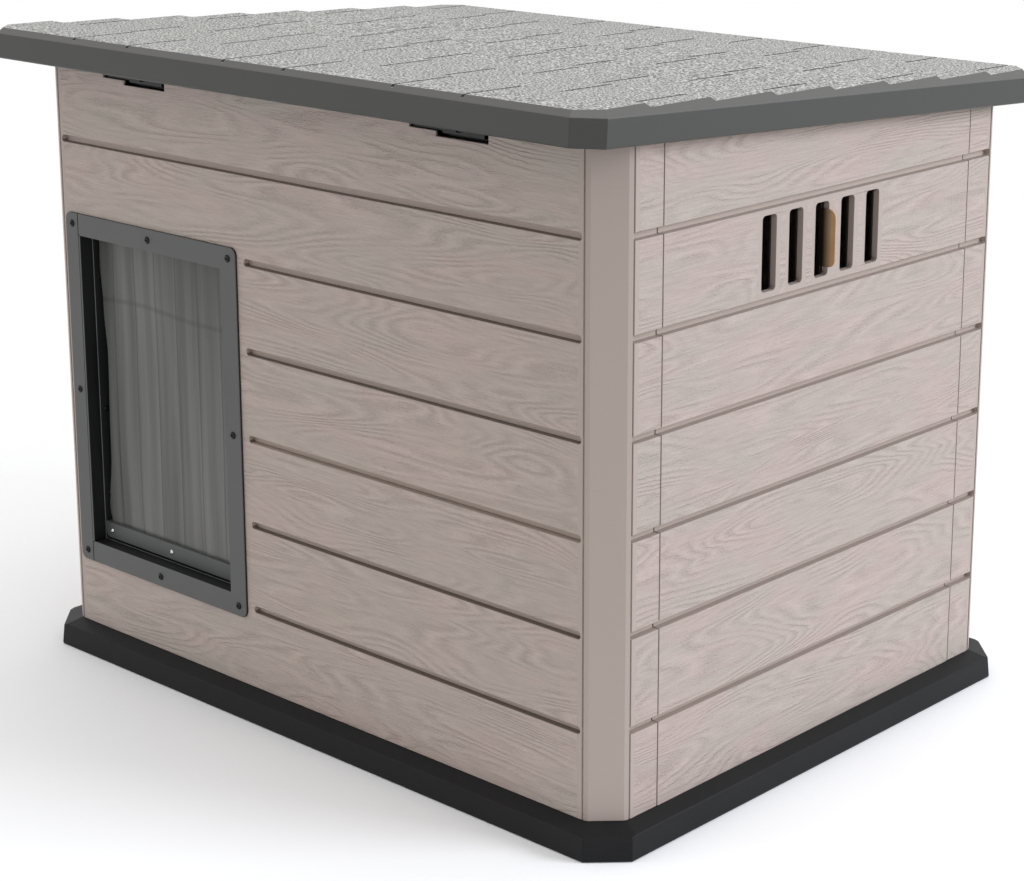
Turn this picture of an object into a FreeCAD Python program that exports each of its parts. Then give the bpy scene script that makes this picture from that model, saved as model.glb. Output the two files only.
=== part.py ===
import FreeCAD, Part
import math
import os

# Plank-walled dog house with a hinged shingle roof, a swinging door flap, two roof latches and sliding vents.
# Millimetres. X runs along the front wall, Y to the back, Z up. The origin is the centre of the base's
# underside. The front wall, with the doorway, faces -Y.

V = FreeCAD.Vector

# ---- walls -------------------------------------------------------------------------------------
wall_width = 898.0          # over the two side walls
wall_depth = 687.0          # over the front and rear walls
wall_thickness = 16.0
wall_foot = 34.0            # height of the walls' lower edge
corner_leg = 30.0           # each leg of the 45 degree corner posts
post_bevel = 3.0            # small bevel along both edges of a post
reveal_size = 2.0           # shadow line between a post and the planks beside it
return_depth = 76.5         # the front and rear panels wrap this far round the sides
panel_gap = 1.4             # open joint between a return strip and a side panel
lap_width = 16.0            # reach of a side panel's flange behind a return strip
lap_thickness = 5.0
lap_clearance = 0.3

# ---- plank grooves -----------------------------------------------------------------------------
groove_pitch = 101.6
groove_count = 6
groove_first = 134.5        # top edge of the lowest groove
groove_height = 8.2
groove_depth = 8.0
groove_corner = 2.5
groove_end = 7.5            # plain strip between a groove's end and the post, on the front and rear
groove_side_end = 3.5       # the same on the sides
groove_trim_gap = 11.0      # between the doorway's trim and the short grooves

# ---- base --------------------------------------------------------------------------------------
skirt_out = 20.5            # the skirt's foot stands out this far from the walls
skirt_lean = 2.5            # the skirt leans in by this much up to the walls' foot
skirt_leg = 36.0            # each leg of the skirt's corners
skirt_ridge = 27.0          # height of the ridge round the skirt
skirt_shelf = -1.0          # the slope above the ridge ends this far outside the walls' faces
skirt_foot_bevel = 1.5
pan_rise = 10.0             # the floor pan stands this high above the walls' foot
pan_clearance = 1.0         # between the pan and the walls' inner faces
pan_draft = 4.0
base_screw_inset_x = 180.0  # of the screws under the front and rear walls, from the corners
base_screw_inset_y = 172.0  # and under the side walls

# ---- roof --------------------------------------------------------------------------------------
roof_pitch = 3.3            # degrees, falling to the back
roof_seat = 732.5           # height of the rim's lower edge, at the front wall's face
roof_out_front = 60.0
roof_out_rear = 29.5
roof_out_side = 24.0
roof_corner_leg = 25.0
rim_height = 34.5           # from the rim's lower edge to the low side of the shingles
rim_thickness = 8.0
rim_bevel = 6.0
rim_foot_bevel = 1.5
deck_height = 12.0          # the deck's underside above the rim's lower edge
deck_seal_gap = 0.5         # between the deck and the tops of the walls
butt_height = 4.0           # step down from one course to the next
butt_draft = 5.0
course_pitch = 97.5
course_first = 28.0         # first step, behind the front wall's face
keyway_width = 3.6
keyway_depth = 3.0
keyway_half_pair = 48.0     # half the width of a narrow tab
keyway_period = 258.0       # from one narrow tab to the next in a course

# ---- roof hinges -------------------------------------------------------------------------------
hinge_inset = 199.0         # of each hinge's middle from the side wall's outer face
hinge_length = 84.0
hinge_out = 14.0            # pin centre behind the rear wall's face
hinge_drop = 8.5            # pin centre below the deck's underside
hinge_pin_radius = 2.5
hinge_pin_clearance = 0.05
knuckle_radius = 5.0
knuckle_gap = 0.6
hinge_leaf_thickness = 2.5
hinge_leaf_height = 46.0

# ---- doorway -----------------------------------------------------------------------------------
door_inset = 67.0           # left jamb from the left wall's outer face
door_width = 257.0
door_height = 382.0
door_sill = 142.5
trim_border = 26.5
trim_proud = 3.0
trim_corner = 9.0
trim_edge = 0.8
trim_joint = 0.6            # butt joint between the stile and the surround
trim_tongue = 3.0           # the rails' ends reach this far past the left jamb
sleeve_thickness = 2.5
sleeve_clearance = 0.5
sleeve_depth = 14.8         # the outer sleeve's end behind the wall's face
sleeve_seam = 0.4
inner_border = 22.0
inner_flange = 3.0
inner_sleeve_end = 44.0
trim_screw_inset = 13.0
trim_screw_play = 0.5       # the screws end this far inside the inner flange
jamb_screw_depth = 23.8
jamb_screw_rises = (57.0, 163.5, 328.5)  # above the sill
jamb_boss = 8.0             # side of the square bosses that the jamb screws bite into
jamb_boss_reach = 5.0

# ---- door flap ---------------------------------------------------------------------------------
flap_depth = 20.6           # mid-plane of the sheet behind the wall's face
flap_pivot_drop = 6.5       # bend line of the sheet below the doorway's head
flap_thickness = 2.2
flap_inset = 6.5            # clear strip between the sheet and each jamb
flap_bar_clearance = 1.2    # between the bar's ends and the jambs
flap_bar_lift = 2.7         # bar above the sill
flap_bar_height = 20.0
flap_bar_thickness = 5.0
flap_bar_corner = 7.0
flap_bar_edge = 0.8         # small bevel round the bar's outer face
flap_bend_gap = 0.4
rib_count = 6
rib_pitch = 38.6
rib_width = 5.0
rib_height = 0.7
rib_end_gap = 3.0           # between the ribs' tops and the bend line
rivet_inset = 14.1          # of the outer rivets from the jambs
rivet_radius = 2.8
rivet_crown = 1.2
rivet_shank = 1.4
clamp_screw_inset = 28.0

# ---- latches -----------------------------------------------------------------------------------
latch_inset = 197.0         # of each latch window's middle from the side wall's outer face
latch_window = 73.0         # length of the deep part of the window
latch_window_foot = 713.2
latch_slit = 38.0           # further length of the shallow part
latch_bar_cover = 4.0       # the bar reaches this far past the window's ends, hidden by the wall
latch_slit_foot = 718.6
latch_skin = 3.0            # wall left in front of the latch
latch_head_strip = 6.0      # and over the window
latch_travel = 20.0
latch_side_gap = 0.5
latch_front_gap = 0.6       # between the bar and the wall's skin
latch_tray_gap = 0.3        # between the housing and its pocket, and above and below the bar
latch_end_gap = 1.0         # past the bar at each end of its travel
latch_end_view = 8.5        # the bar's right end falls this far short of the window's
latch_bar_wall = 1.9
latch_bar_floor = 2.0
latch_wall = 3.0
latch_bar_depth = 11.4
latch_bar_top = 733.2
latch_web = 3.0
latch_grip_foot = 716.4
latch_grip_inset = 6.0
latch_grip_depth = 5.0
latch_runner_depth = 4.5
latch_notch_place = -11.5   # left end of the notch from the window's middle
latch_notch_foot = 6.0       # width of the notch at its foot
latch_notch_top = 23.0       # and at the top of the bar
latch_notch_rise = 0.8      # the notch's foot above the slit's
latch_key = 17.0            # length of the keyhole's wide end
latch_slot = 5.0
striker_neck = 3.0
striker_foot = 6.8
striker_length = 9.0
striker_foot_height = 4.8
striker_play = 0.8

# ---- side vents --------------------------------------------------------------------------------
vent_count = 5
vent_pitch = 45.0
vent_width = 23.5
vent_foot = 547.6
vent_height = 80.0
vent_corner = 4.5
vent_shift = -8.0           # middle of the vents from the middle of the side wall
vent_travel = 20.0
vent_skin = 7.5             # wall left in front of the slider
slider_thickness = 3.0
slider_gap = 0.3
slider_overlap = 4.0        # above and below the slots
slider_end = 14.0           # past the outer slots
slider_slot_inset = 0.5     # the slider's slots are narrower than the panel's by this on each side
track_end_gap = 1.0         # left between the slider and its track at each end of its travel
track_wall = 8.0
track_lip = 3.0             # the track's inner edge laps this far over the slider
track_gap = 0.3             # between the track and its recess
track_screw_half_pitch = 30.0
tab_thickness = 2.5
tab_clearance = 0.8         # between the tab and its slot's rear edge
tab_height = 62.0
tab_out = 11.0
tab_corner = 9.0

# ---- screws ------------------------------------------------------------------------------------
screw_head = 4.2
screw_head_height = 2.2
screw_shank = 1.9
screw_bore_gap = 0.1
small_head = 3.0
small_head_height = 1.4
small_shank = 1.4
shank_sides = 6
head_sides = 12
head_rim_share = 0.35       # of a button head's height, upright at its edge
head_crown_share = 0.6      # of its radius, flat on top

# ---- levels and faces that several pieces share --------------------------------------------------
half_width = wall_width / 2
half_depth = wall_depth / 2
front_face = -half_depth
rear_face = half_depth
inner_x = half_width - wall_thickness
front_inner = front_face + wall_thickness
tilt = math.radians(roof_pitch)
tall = 2 * roof_seat        # above and past everything
over = wall_thickness       # cutting shapes reach this far past the faces they cut
door_head = door_sill + door_height
door_left = door_inset - half_width
door_right = door_left + door_width
door_centre = (door_left + door_right) / 2
latch_offset = half_width - latch_inset
hinge_offset = half_width - hinge_inset
rivet_pitch = door_width / 2 - rivet_inset
clamp_screw_pitch = door_width / 2 - clamp_screw_inset
latch_places = {"left": -latch_offset, "right": latch_offset}
hinge_places = {"left": -hinge_offset, "right": hinge_offset}
sides = {"left": -1, "right": 1}


def block(x0, x1, y0, y1, z0, z1):
    return Part.makeBox(x1 - x0, y1 - y0, z1 - z0, V(x0, y0, z0))


def prism(points, direction):
    """A flat outline pushed along a vector."""
    return Part.Face(Part.makePolygon([*points, points[0]])).extrude(direction)


def prism_z(outline, z0, z1):
    return prism([V(x, y, z0) for x, y in outline], V(0, 0, z1 - z0))


def prism_x(outline, x0, x1):
    """An outline of (y, z) points, pushed along X."""
    return prism([V(x0, y, z) for y, z in outline], V(x1 - x0, 0, 0))


def prism_y(outline, y0, y1):
    """An outline of (x, z) points, pushed along Y."""
    return prism([V(x, y0, z) for x, z in outline], V(0, y1 - y0, 0))


def rod(start, direction, radius, length):
    return Part.makeCylinder(radius, length, start, direction)


def fuse(first, *others):
    return first.fuse(list(others)).removeSplitter()


def cut(shape, *tools):
    return shape.cut(list(tools))


def rounded(shape, radius, axis):
    """Rounds the edges of a block that run along one axis."""
    edges = [e for e in shape.Edges if abs(e.tangentAt(e.FirstParameter).dot(axis)) > 0.999]
    return shape.makeFillet(radius, edges)


def clipped_slot(slot, size, axis):
    """Takes the corners off a long slot, all along one axis."""
    edges = [e for e in slot.Edges if abs(e.tangentAt(e.FirstParameter).dot(axis)) > 0.999]
    return slot.makeChamfer(size, edges)


def rounded_slot_y(x0, x1, z0, z1, y0, y1, radius):
    return rounded(block(x0, x1, y0, y1, z0, z1), radius, V(0, 1, 0))


def rounded_slot_x(y0, y1, z0, z1, x0, x1, radius):
    return rounded(block(x0, x1, y0, y1, z0, z1), radius, V(1, 0, 0))


def clipped_outline(hx, y0, y1, leg):
    """A rectangle with its four corners cut off at 45 degrees."""
    return [
        (-hx + leg, y0), (hx - leg, y0), (hx, y0 + leg), (hx, y1 - leg),
        (hx - leg, y1), (-hx + leg, y1), (-hx, y1 - leg), (-hx, y0 + leg),
    ]


def softened(outline, size):
    """The same outline with a short flat across each corner."""
    points = []
    for i, (x, y) in enumerate(outline):
        for j in (i - 1, (i + 1) % len(outline)):
            dx, dy = outline[j][0] - x, outline[j][1] - y
            share = size / math.hypot(dx, dy)
            points.append((x + dx * share, y + dy * share))
    return points


def mirror_x(shape):
    return shape.mirror(V(0, 0, 0), V(1, 0, 0))


def on_roof(shape):
    """Tilts a shape from the roof's own level frame (rim foot at 0, front wall face at y 0) into place."""
    tilted = shape.copy()
    tilted.rotate(V(0, 0, 0), V(1, 0, 0), -roof_pitch)
    tilted.translate(V(0, front_face, roof_seat))
    return tilted


def deck_line(y, below=0.0):
    """Height of the deck's underside over a place y, less a gap square to it."""
    return roof_seat + (deck_height - below) / math.cos(tilt) - (y - front_face) * math.tan(tilt)


def above_deck(below):
    """Everything higher than the deck's underside less a gap."""
    ends = (front_face - tall, rear_face + tall)
    line = [(y, deck_line(y, below)) for y in ends]
    return prism_x([*line, (ends[1], 2 * tall), (ends[0], 2 * tall)], -wall_width, wall_width)


# ---- fasteners -----------------------------------------------------------------------------------
def ngon(radius, sides, z):
    points = [V(radius * math.cos(2 * math.pi * k / sides), radius * math.sin(2 * math.pi * k / sides), z)
              for k in range(sides)]
    return Part.makePolygon([*points, points[0]])


def placed(shape, place, direction):
    """Turns a shape made along +Z at the origin to run along direction from place."""
    shape.Placement = FreeCAD.Placement(place, FreeCAD.Rotation(V(0, 0, 1), direction))
    return shape


def shank_rod(start, direction, radius, length):
    """A screw's shank, or the bore for it, with a few flat sides."""
    return placed(Part.Face(ngon(radius, shank_sides, 0)).extrude(V(0, 0, length)), start, direction)


def hidden_screw(place, direction, length, head=screw_head, height=screw_head_height, shank=screw_shank):
    """A plain hexagon head on a face at place, its shank running in along direction."""
    cap = Part.Face(ngon(head, shank_sides, -height)).extrude(V(0, 0, height))
    return fuse(placed(cap, place, direction), shank_rod(place, direction, shank, length))


def button_screw(place, direction, length, head=screw_head, height=screw_head_height, shank=screw_shank):
    """A button head standing out from a face at place, its shank running in along direction."""
    levels = [(head, 0), (head, -height * head_rim_share), (head * head_crown_share, -height)]
    cap = Part.makeLoft([ngon(radius, head_sides, z) for radius, z in levels], True, True)
    return fuse(placed(cap, place, direction), shank_rod(place, direction, shank, length))


def screw_bore(place, direction, length, shank=screw_shank):
    return shank_rod(place, direction, shank + screw_bore_gap, length + 1.0)


# ---- base ----------------------------------------------------------------------------------------
def ring(out, leg, z):
    """A level outline that stands out from the walls, with clipped corners."""
    outline = clipped_outline(half_width + out, front_face - out, rear_face + out, leg)
    points = [V(x, y, z) for x, y in outline]
    return Part.makePolygon([*points, points[0]])


def even_leg(out):
    """Corner leg of an outline that keeps one distance from the walls all round."""
    return corner_leg + out * (2 - math.sqrt(2))


def base_skirt():
    """A near-upright skirt, cut by slopes that fall away from the walls and leave a ridge round it."""
    sides = [
        ring(skirt_out - skirt_foot_bevel, skirt_leg, 0), ring(skirt_out, skirt_leg, skirt_foot_bevel),
        ring(skirt_out - skirt_lean, skirt_leg, wall_foot),
    ]
    ridge_out = skirt_out - skirt_lean * skirt_ridge / wall_foot
    fall = (wall_foot - skirt_ridge) / (ridge_out - skirt_shelf)
    wide = 2 * skirt_out
    slopes = [
        ring(wide, even_leg(wide), -1), ring(wide, even_leg(wide), wall_foot - (wide - skirt_shelf) * fall),
        ring(skirt_shelf, even_leg(skirt_shelf), wall_foot),
    ]
    return Part.makeLoft(sides, True, True).common(Part.makeLoft(slopes, True, True))


def base_floor():
    """Skirt with a shelf for the walls and a raised pan for the floor."""
    pan_x = inner_x - pan_clearance
    pan_y = half_depth - wall_thickness - pan_clearance
    leg = corner_leg - wall_thickness * (2 - math.sqrt(2))
    foot = clipped_outline(pan_x, -pan_y, pan_y, leg)
    top = clipped_outline(pan_x - pan_draft, pan_draft - pan_y, pan_y - pan_draft, leg)
    wires = []
    for outline, z in ((foot, wall_foot - 1), (foot, wall_foot), (top, wall_foot + pan_rise)):
        points = [V(x, y, z) for x, y in outline]
        wires.append(Part.makePolygon([*points, points[0]]))
    pan = Part.makeLoft(wires, True, True)
    bores = [base_bore(place) for place in base_screw_places()]
    return cut(fuse(base_skirt(), pan), *bores)


def base_screw_places():
    mid_wall = wall_thickness / 2
    xs = (base_screw_inset_x - half_width, half_width - base_screw_inset_x)
    ys = (front_face + base_screw_inset_y, rear_face - base_screw_inset_y)
    places = [V(x, y, 0) for x in xs for y in (front_face + mid_wall, rear_face - mid_wall)]
    return places + [V(x, y, 0) for x in (mid_wall - half_width, half_width - mid_wall) for y in ys]


base_recess = 8.0
base_screw_length = 45.0


def base_bore(place):
    recess = shank_rod(place, V(0, 0, 1), screw_head + 1.5, base_recess)
    return recess.fuse(shank_rod(place, V(0, 0, 1), screw_shank + screw_bore_gap, wall_foot + pan_rise))


def base_screws():
    return Part.Compound([
        hidden_screw(place + V(0, 0, base_recess), V(0, 0, 1), base_screw_length)
        for place in base_screw_places()
    ])


def base_screw_holes():
    depth = base_recess + base_screw_length + 1
    return [shank_rod(p, V(0, 0, 1), screw_shank + screw_bore_gap, depth) for p in base_screw_places()]


# ---- walls ---------------------------------------------------------------------------------------
def wall_ring():
    """All four walls as one tube, cut off along the roof's slope."""
    outer = softened(clipped_outline(half_width, front_face, rear_face, corner_leg), post_bevel)
    inner_leg = corner_leg - wall_thickness * (2 - math.sqrt(2))
    inner = clipped_outline(inner_x, front_inner, rear_face - wall_thickness, inner_leg)
    tube = cut(prism_z(outer, wall_foot, tall), prism_z(inner, wall_foot - 1, tall + 1))
    return cut(tube, above_deck(deck_seal_gap), *reveals())


def reveals():
    """Upright shadow lines beside the corner posts, on the walls' faces."""
    lines = []
    at_x = half_width - corner_leg - post_bevel - reveal_size
    at_y = half_depth - corner_leg - post_bevel - reveal_size
    for sx in (-1, 1):
        for sy in (-1, 1):
            x0, x1 = sorted((sx * at_x, sx * (at_x + reveal_size)))
            y0, y1 = sorted((sy * (half_depth - reveal_size), sy * (half_depth + over)))
            lines.append(block(x0, x1, y0, y1, 0, tall))
            x0, x1 = sorted((sx * (half_width - reveal_size), sx * (half_width + over)))
            y0, y1 = sorted((sy * at_y, sy * (at_y + reveal_size)))
            lines.append(block(x0, x1, y0, y1, 0, tall))
    return lines


def groove_spans():
    for k in range(groove_count):
        top = groove_first + k * groove_pitch
        yield top - groove_height, top


def groove_y(x0, x1, z0, z1, y0, y1):
    return clipped_slot(block(x0, x1, y0, y1, z0, z1), groove_corner, V(0, 1, 0))


def face_grooves(y0, y1):
    """Level grooves between the posts of the front or rear wall."""
    reach = half_width - corner_leg - groove_end
    return [groove_y(-reach, reach, z0, z1, y0, y1) for z0, z1 in groove_spans()]


def side_grooves(side):
    """Level grooves along a side wall, carried on into the return strips."""
    reach = half_depth - corner_leg - groove_side_end
    x0, x1 = sorted((side * (half_width - groove_depth), side * (half_width + over)))
    return [clipped_slot(block(x0, x1, -reach, reach, z0, z1), groove_corner, V(1, 0, 0))
            for z0, z1 in groove_spans()]


def front_grooves():
    """The front's grooves: only the top one is full length, the others stop short of the door trim."""
    start = door_right + trim_border + groove_trim_gap
    reach = half_width - corner_leg - groove_end
    spans = list(groove_spans())
    y0, y1 = front_face - over, front_face + groove_depth
    grooves = [groove_y(start, reach, *span, y0, y1) for span in spans[:-1]]
    return [*grooves, groove_y(-reach, reach, *spans[-1], y0, y1)]


def front_panel():
    reach = block(-wall_width, wall_width, front_face - over, front_face + return_depth, 0, tall)
    panel = wall_ring().common(reach)
    hole = sleeve_thickness + sleeve_clearance
    doorway = block(door_left - hole, door_right + hole, front_face - over, front_inner + over,
                    door_sill - hole, door_head + hole)
    tools = [*front_grooves(), *side_grooves(-1), *side_grooves(1), doorway]
    tools += [screw_bore(p, V(0, 1, 0), trim_screw_length) for p in trim_screw_places()]
    tools += [bore for side in sides for bore in panel_bores(side)]
    for centre in latch_places.values():
        tools += latch_openings(centre)
        tools += [screw_bore(p, V(0, -1, 0), latch_screw_length, small_shank)
                  for p in latch_screw_places(centre)]
    return cut(panel, *tools, *base_screw_holes())


def rear_panel():
    reach = block(-wall_width, wall_width, rear_face - return_depth, rear_face + over, 0, tall)
    panel = wall_ring().common(reach)
    tools = [*face_grooves(rear_face - groove_depth, rear_face + over), *side_grooves(-1), *side_grooves(1)]
    tools += [bore for side in sides for bore in panel_bores(side)]
    tools += [screw_bore(p, V(0, -1, 0), hinge_screw_length) for p in hinge_wall_screw_places()]
    return cut(panel, *tools, *base_screw_holes())


def side_panel(side):
    """A side wall between the return strips, with laps behind them and five vent slots."""
    reach_y = half_depth - return_depth - panel_gap
    x0, x1 = sorted((0, side * wall_width))
    panel = wall_ring().common(block(x0, x1, -reach_y, reach_y, 0, tall))
    laps = []
    lap_back = inner_x - lap_clearance - lap_thickness
    for end in (-1, 1):
        joint = end * (reach_y + panel_gap)
        y0, y1 = sorted((joint + end * lap_width, joint - end * lap_width))
        laps.append(block(*sorted((side * lap_back, side * (inner_x - lap_clearance))), y0, y1,
                          wall_foot, tall))
        y0, y1 = sorted((end * reach_y, joint - end * lap_width))
        laps.append(block(*sorted((side * lap_back, side * (inner_x + 1))), y0, y1, wall_foot, tall))
    lap_part = cut(fuse(*laps), above_deck(deck_seal_gap), floor_relief())
    panel = fuse(panel, lap_part)
    x0, x1 = sorted((side * (inner_x - over), side * (half_width + over)))
    slots = [rounded_slot_x(y - vent_width / 2, y + vent_width / 2, vent_foot, vent_foot + vent_height,
                            x0, x1, vent_corner) for y in vent_places()]
    bores = [bore for name, value in sides.items() if value == side for bore in panel_bores(name)]
    bores += [screw_bore(p, V(side, 0, 0), track_screw_length, small_shank) for p in track_screw_places(side)]
    recess = [track_outline(side, track_gap, over), slider_run(side, 0, half_width - vent_skin)]
    return cut(panel, *side_grooves(side), *slots, *recess, *bores, *base_screw_holes())


def floor_relief():
    """Room for the floor pan under the laps."""
    return block(-inner_x, inner_x, -half_depth, half_depth, 0, wall_foot + pan_rise + 1)


panel_screw_length = 13.0


def panel_screw_places(name):
    """Head faces of the screws through a side panel's laps, at the middle of every other plank."""
    side = sides[name]
    x = side * (inner_x - lap_clearance - lap_thickness)
    reach = half_depth - return_depth + lap_width / 2
    heights = [groove_first + (k + 0.5) * groove_pitch for k in range(0, groove_count - 1, 2)]
    return [V(x, y, z) for y in (-reach, reach) for z in heights]


def panel_bores(name):
    side = sides[name]
    return [screw_bore(p, V(side, 0, 0), panel_screw_length, small_shank) for p in panel_screw_places(name)]


def panel_screws():
    return Part.Compound([
        hidden_screw(p, V(sides[name], 0, 0), panel_screw_length, small_head, small_head_height, small_shank)
        for name in sides for p in panel_screw_places(name)
    ])


# ---- doorway trim --------------------------------------------------------------------------------
trim_screw_length = trim_proud + wall_thickness + inner_flange - trim_screw_play


def trim_plate():
    """Flat trim round the doorway with its sleeve, before it is split into stile and surround."""
    x0, x1 = door_left - trim_border, door_right + trim_border
    z0, z1 = door_sill - trim_border, door_head + trim_border
    plate = rounded_slot_y(x0, x1, z0, z1, front_face - trim_proud, front_face, trim_corner)
    rim = [e for e in plate.Edges if abs(e.BoundBox.YMax - front_face + trim_proud) < 1e-6]
    plate = plate.makeChamfer(trim_edge, rim)
    wall = sleeve_thickness
    sleeve = block(door_left - wall, door_right + wall, front_face - 1, front_face + sleeve_depth,
                   door_sill - wall, door_head + wall)
    hole = block(door_left, door_right, front_face - over, front_inner + over, door_sill, door_head)
    bores = [screw_bore(p, V(0, 1, 0), trim_screw_length) for p in trim_screw_places()]
    return cut(fuse(plate, sleeve), hole, *bores)


def trim_screw_places():
    inset = trim_border - trim_screw_inset
    y = front_face - trim_proud
    xs = (door_left - inset, door_centre, door_right + inset)
    places = [V(x, y, z) for x in xs for z in (door_sill - inset, door_head + inset)]
    middle = door_sill + door_height / 2
    return places + [V(x, y, middle) for x in (xs[0], xs[2])]


def stile_zone(gap):
    """The left upright: the trim's left side, stepped back above and below the doorway."""
    past = trim_border + over
    y0, y1 = front_face - over, front_inner + over
    side = block(door_left - past, door_left - trim_tongue + gap, y0, y1, 0, tall)
    jamb = block(door_left - past, door_left + gap, y0, y1, door_sill - gap, door_head + gap)
    return side.fuse(jamb)


def door_frame_stile():
    return trim_plate().common(stile_zone(0))


def door_frame_surround():
    """Top rail, right upright and bottom rail in one C."""
    return cut(trim_plate(), stile_zone(trim_joint))


def door_frame_screws():
    return Part.Compound([button_screw(p, V(0, 1, 0), trim_screw_length) for p in trim_screw_places()])


def door_inner_frame():
    """Flange on the wall's inner face and a sleeve that carries the jamb into the cabin."""
    border = inner_border
    flange = rounded_slot_y(door_left - border, door_right + border, door_sill - border, door_head + border,
                            front_inner, front_inner + inner_flange, trim_corner)
    wall = sleeve_thickness
    sleeve = block(door_left - wall, door_right + wall, front_face + sleeve_depth + sleeve_seam,
                   front_face + inner_sleeve_end, door_sill - wall, door_head + wall)
    hole = block(door_left, door_right, front_face, front_face + 2 * inner_sleeve_end, door_sill, door_head)
    half = jamb_boss / 2
    bosses = []
    for p, d in jamb_screw_places():
        x0, x1 = sorted((p.x + d.x, p.x + d.x * (wall + jamb_boss_reach)))
        bosses.append(block(x0, x1, p.y - half, p.y + half, p.z - half, p.z + half))
    bores = [screw_bore(p, d, jamb_screw_length, small_shank) for p, d in jamb_screw_places()]
    bores += [screw_bore(p, V(0, 0, 1), clamp_screw_reach, small_shank) for p in clamp_screw_places()]
    bores += [screw_bore(p, V(0, 1, 0), trim_screw_length) for p in trim_screw_places()]
    return cut(fuse(flange, sleeve, *bosses), hole, *bores)


jamb_screw_length = sleeve_thickness + jamb_boss_reach - 2.0


def jamb_screw_places():
    """Screws that face into the doorway from both jambs, just behind the wall's inner face."""
    y = front_face + jamb_screw_depth
    heights = [door_sill + rise for rise in jamb_screw_rises]
    places = [(V(door_left, y, z), V(-1, 0, 0)) for z in heights]
    return places + [(V(door_right, y, z), V(1, 0, 0)) for z in heights]


def door_jamb_screws():
    return Part.Compound([
        button_screw(p, d, jamb_screw_length, small_head, small_head_height, small_shank)
        for p, d in jamb_screw_places()
    ])


# ---- flap ----------------------------------------------------------------------------------------
flap_plane = front_face + flap_depth
flap_pivot = door_head - flap_pivot_drop
flap_left = door_left + flap_inset
flap_right = door_right - flap_inset
flap_foot = door_sill + flap_bar_lift
clamp_foot = flap_pivot + flap_thickness / 2 + flap_bend_gap
clamp_depth = 5.0
clamp_screw_reach = door_head + sleeve_thickness - clamp_foot


def flap_sheet():
    """Smoke-tinted vinyl with shallow upright ribs; its upper edge is rounded about the bend line."""
    half = flap_thickness / 2
    sheet = block(flap_left, flap_right, flap_plane - half, flap_plane + half, flap_foot, flap_pivot)
    crown = rod(V(flap_left, flap_plane, flap_pivot), V(1, 0, 0), half, flap_right - flap_left)
    ribs = []
    first = door_centre - (rib_count - 1) * rib_pitch / 2
    rib_foot = flap_foot + flap_bar_height
    for i in range(rib_count):
        x = first + i * rib_pitch
        front = flap_plane - half
        outline = [(x - rib_width / 2, front + 0.2), (x - rib_width / 4, front - rib_height),
                   (x + rib_width / 4, front - rib_height), (x + rib_width / 2, front + 0.2)]
        ribs.append(prism_z(outline, rib_foot, flap_pivot - rib_end_gap))
    return cut(fuse(sheet, crown, *ribs), *rivet_bores())


def flap_bar(front):
    """One half of the weight bar, on the sheet's front or rear face."""
    half = flap_thickness / 2
    face = flap_plane - half - flap_bar_thickness if front else flap_plane + half
    x0, x1 = door_left + flap_bar_clearance, door_right - flap_bar_clearance
    bar = block(x0, x1, face, face + flap_bar_thickness, flap_foot, flap_foot + flap_bar_height)
    corners = [e for e in bar.Edges
               if abs(e.tangentAt(0).y) > 0.999 and abs(e.BoundBox.ZMax - flap_foot) < 1e-6]
    bar = bar.makeFillet(flap_bar_corner, corners)
    outer = face if front else face + flap_bar_thickness
    rim = [e for e in bar.Edges if max(abs(y - outer) for y in (e.BoundBox.YMin, e.BoundBox.YMax)) < 1e-6]
    return cut(bar.makeChamfer(flap_bar_edge, rim), *rivet_bores())


def rivet_places():
    y = flap_plane - flap_thickness / 2 - flap_bar_thickness
    z = flap_foot + flap_bar_height / 2
    return [V(door_centre + k * rivet_pitch, y, z) for k in (-1, 0, 1)]


def rivet_bores():
    return [shank_rod(p - V(0, over, 0), V(0, 1, 0), rivet_shank + screw_bore_gap, 3 * over)
            for p in rivet_places()]


def flap_rivets():
    """Domed on both faces of the bar."""
    through = flap_thickness + 2 * flap_bar_thickness
    rivets = []
    for place in rivet_places():
        ends = ((place, V(0, 1, 0)), (place + V(0, through, 0), V(0, -1, 0)))
        halves = [button_screw(p, d, through, rivet_radius, rivet_crown, rivet_shank) for p, d in ends]
        rivets.append(fuse(*halves))
    return Part.Compound(rivets)


def flap_held_edge():
    """The strip of the flap's sheet that the clamp holds."""
    half = flap_thickness / 2
    return block(flap_left, flap_right, flap_plane - half, flap_plane + half, clamp_foot, door_head - 1.0)


def flap_clamp_bars():
    """Two bars under the doorway's head with the sheet between them."""
    half = flap_thickness / 2
    x0, x1 = door_left + 0.5, door_right - 0.5
    front = block(x0, x1, flap_plane - half - clamp_depth, flap_plane - half, clamp_foot, door_head)
    rear = block(x0, x1, flap_plane + half, flap_plane + half + clamp_depth, clamp_foot, door_head)
    bores = [screw_bore(p, V(0, 0, 1), clamp_screw_reach, small_shank) for p in clamp_screw_places()]
    return Part.Compound([front, cut(rear, *bores)])


def clamp_screw_places():
    y = flap_plane + flap_thickness / 2 + clamp_depth / 2
    return [V(door_centre + k * clamp_screw_pitch, y, clamp_foot) for k in (-1, 0, 1)]


def flap_clamp_screws():
    """Up through the rear clamp bar into the inner sleeve's head."""
    return Part.Compound([
        shank_rod(p, V(0, 0, 1), small_shank, clamp_screw_reach) for p in clamp_screw_places()
    ])


# ---- roof ----------------------------------------------------------------------------------------
def roof_outline(inset, leg_inset):
    hx = half_width + roof_out_side - inset
    y0, y1 = inset - roof_out_front, wall_depth + roof_out_rear - inset
    return clipped_outline(hx, y0, y1, roof_corner_leg - leg_inset * (2 - math.sqrt(2)))


def roof_ring(inset, z):
    points = [V(x, y, z) for x, y in roof_outline(inset, inset)]
    return Part.makePolygon([*points, points[0]])


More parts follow.
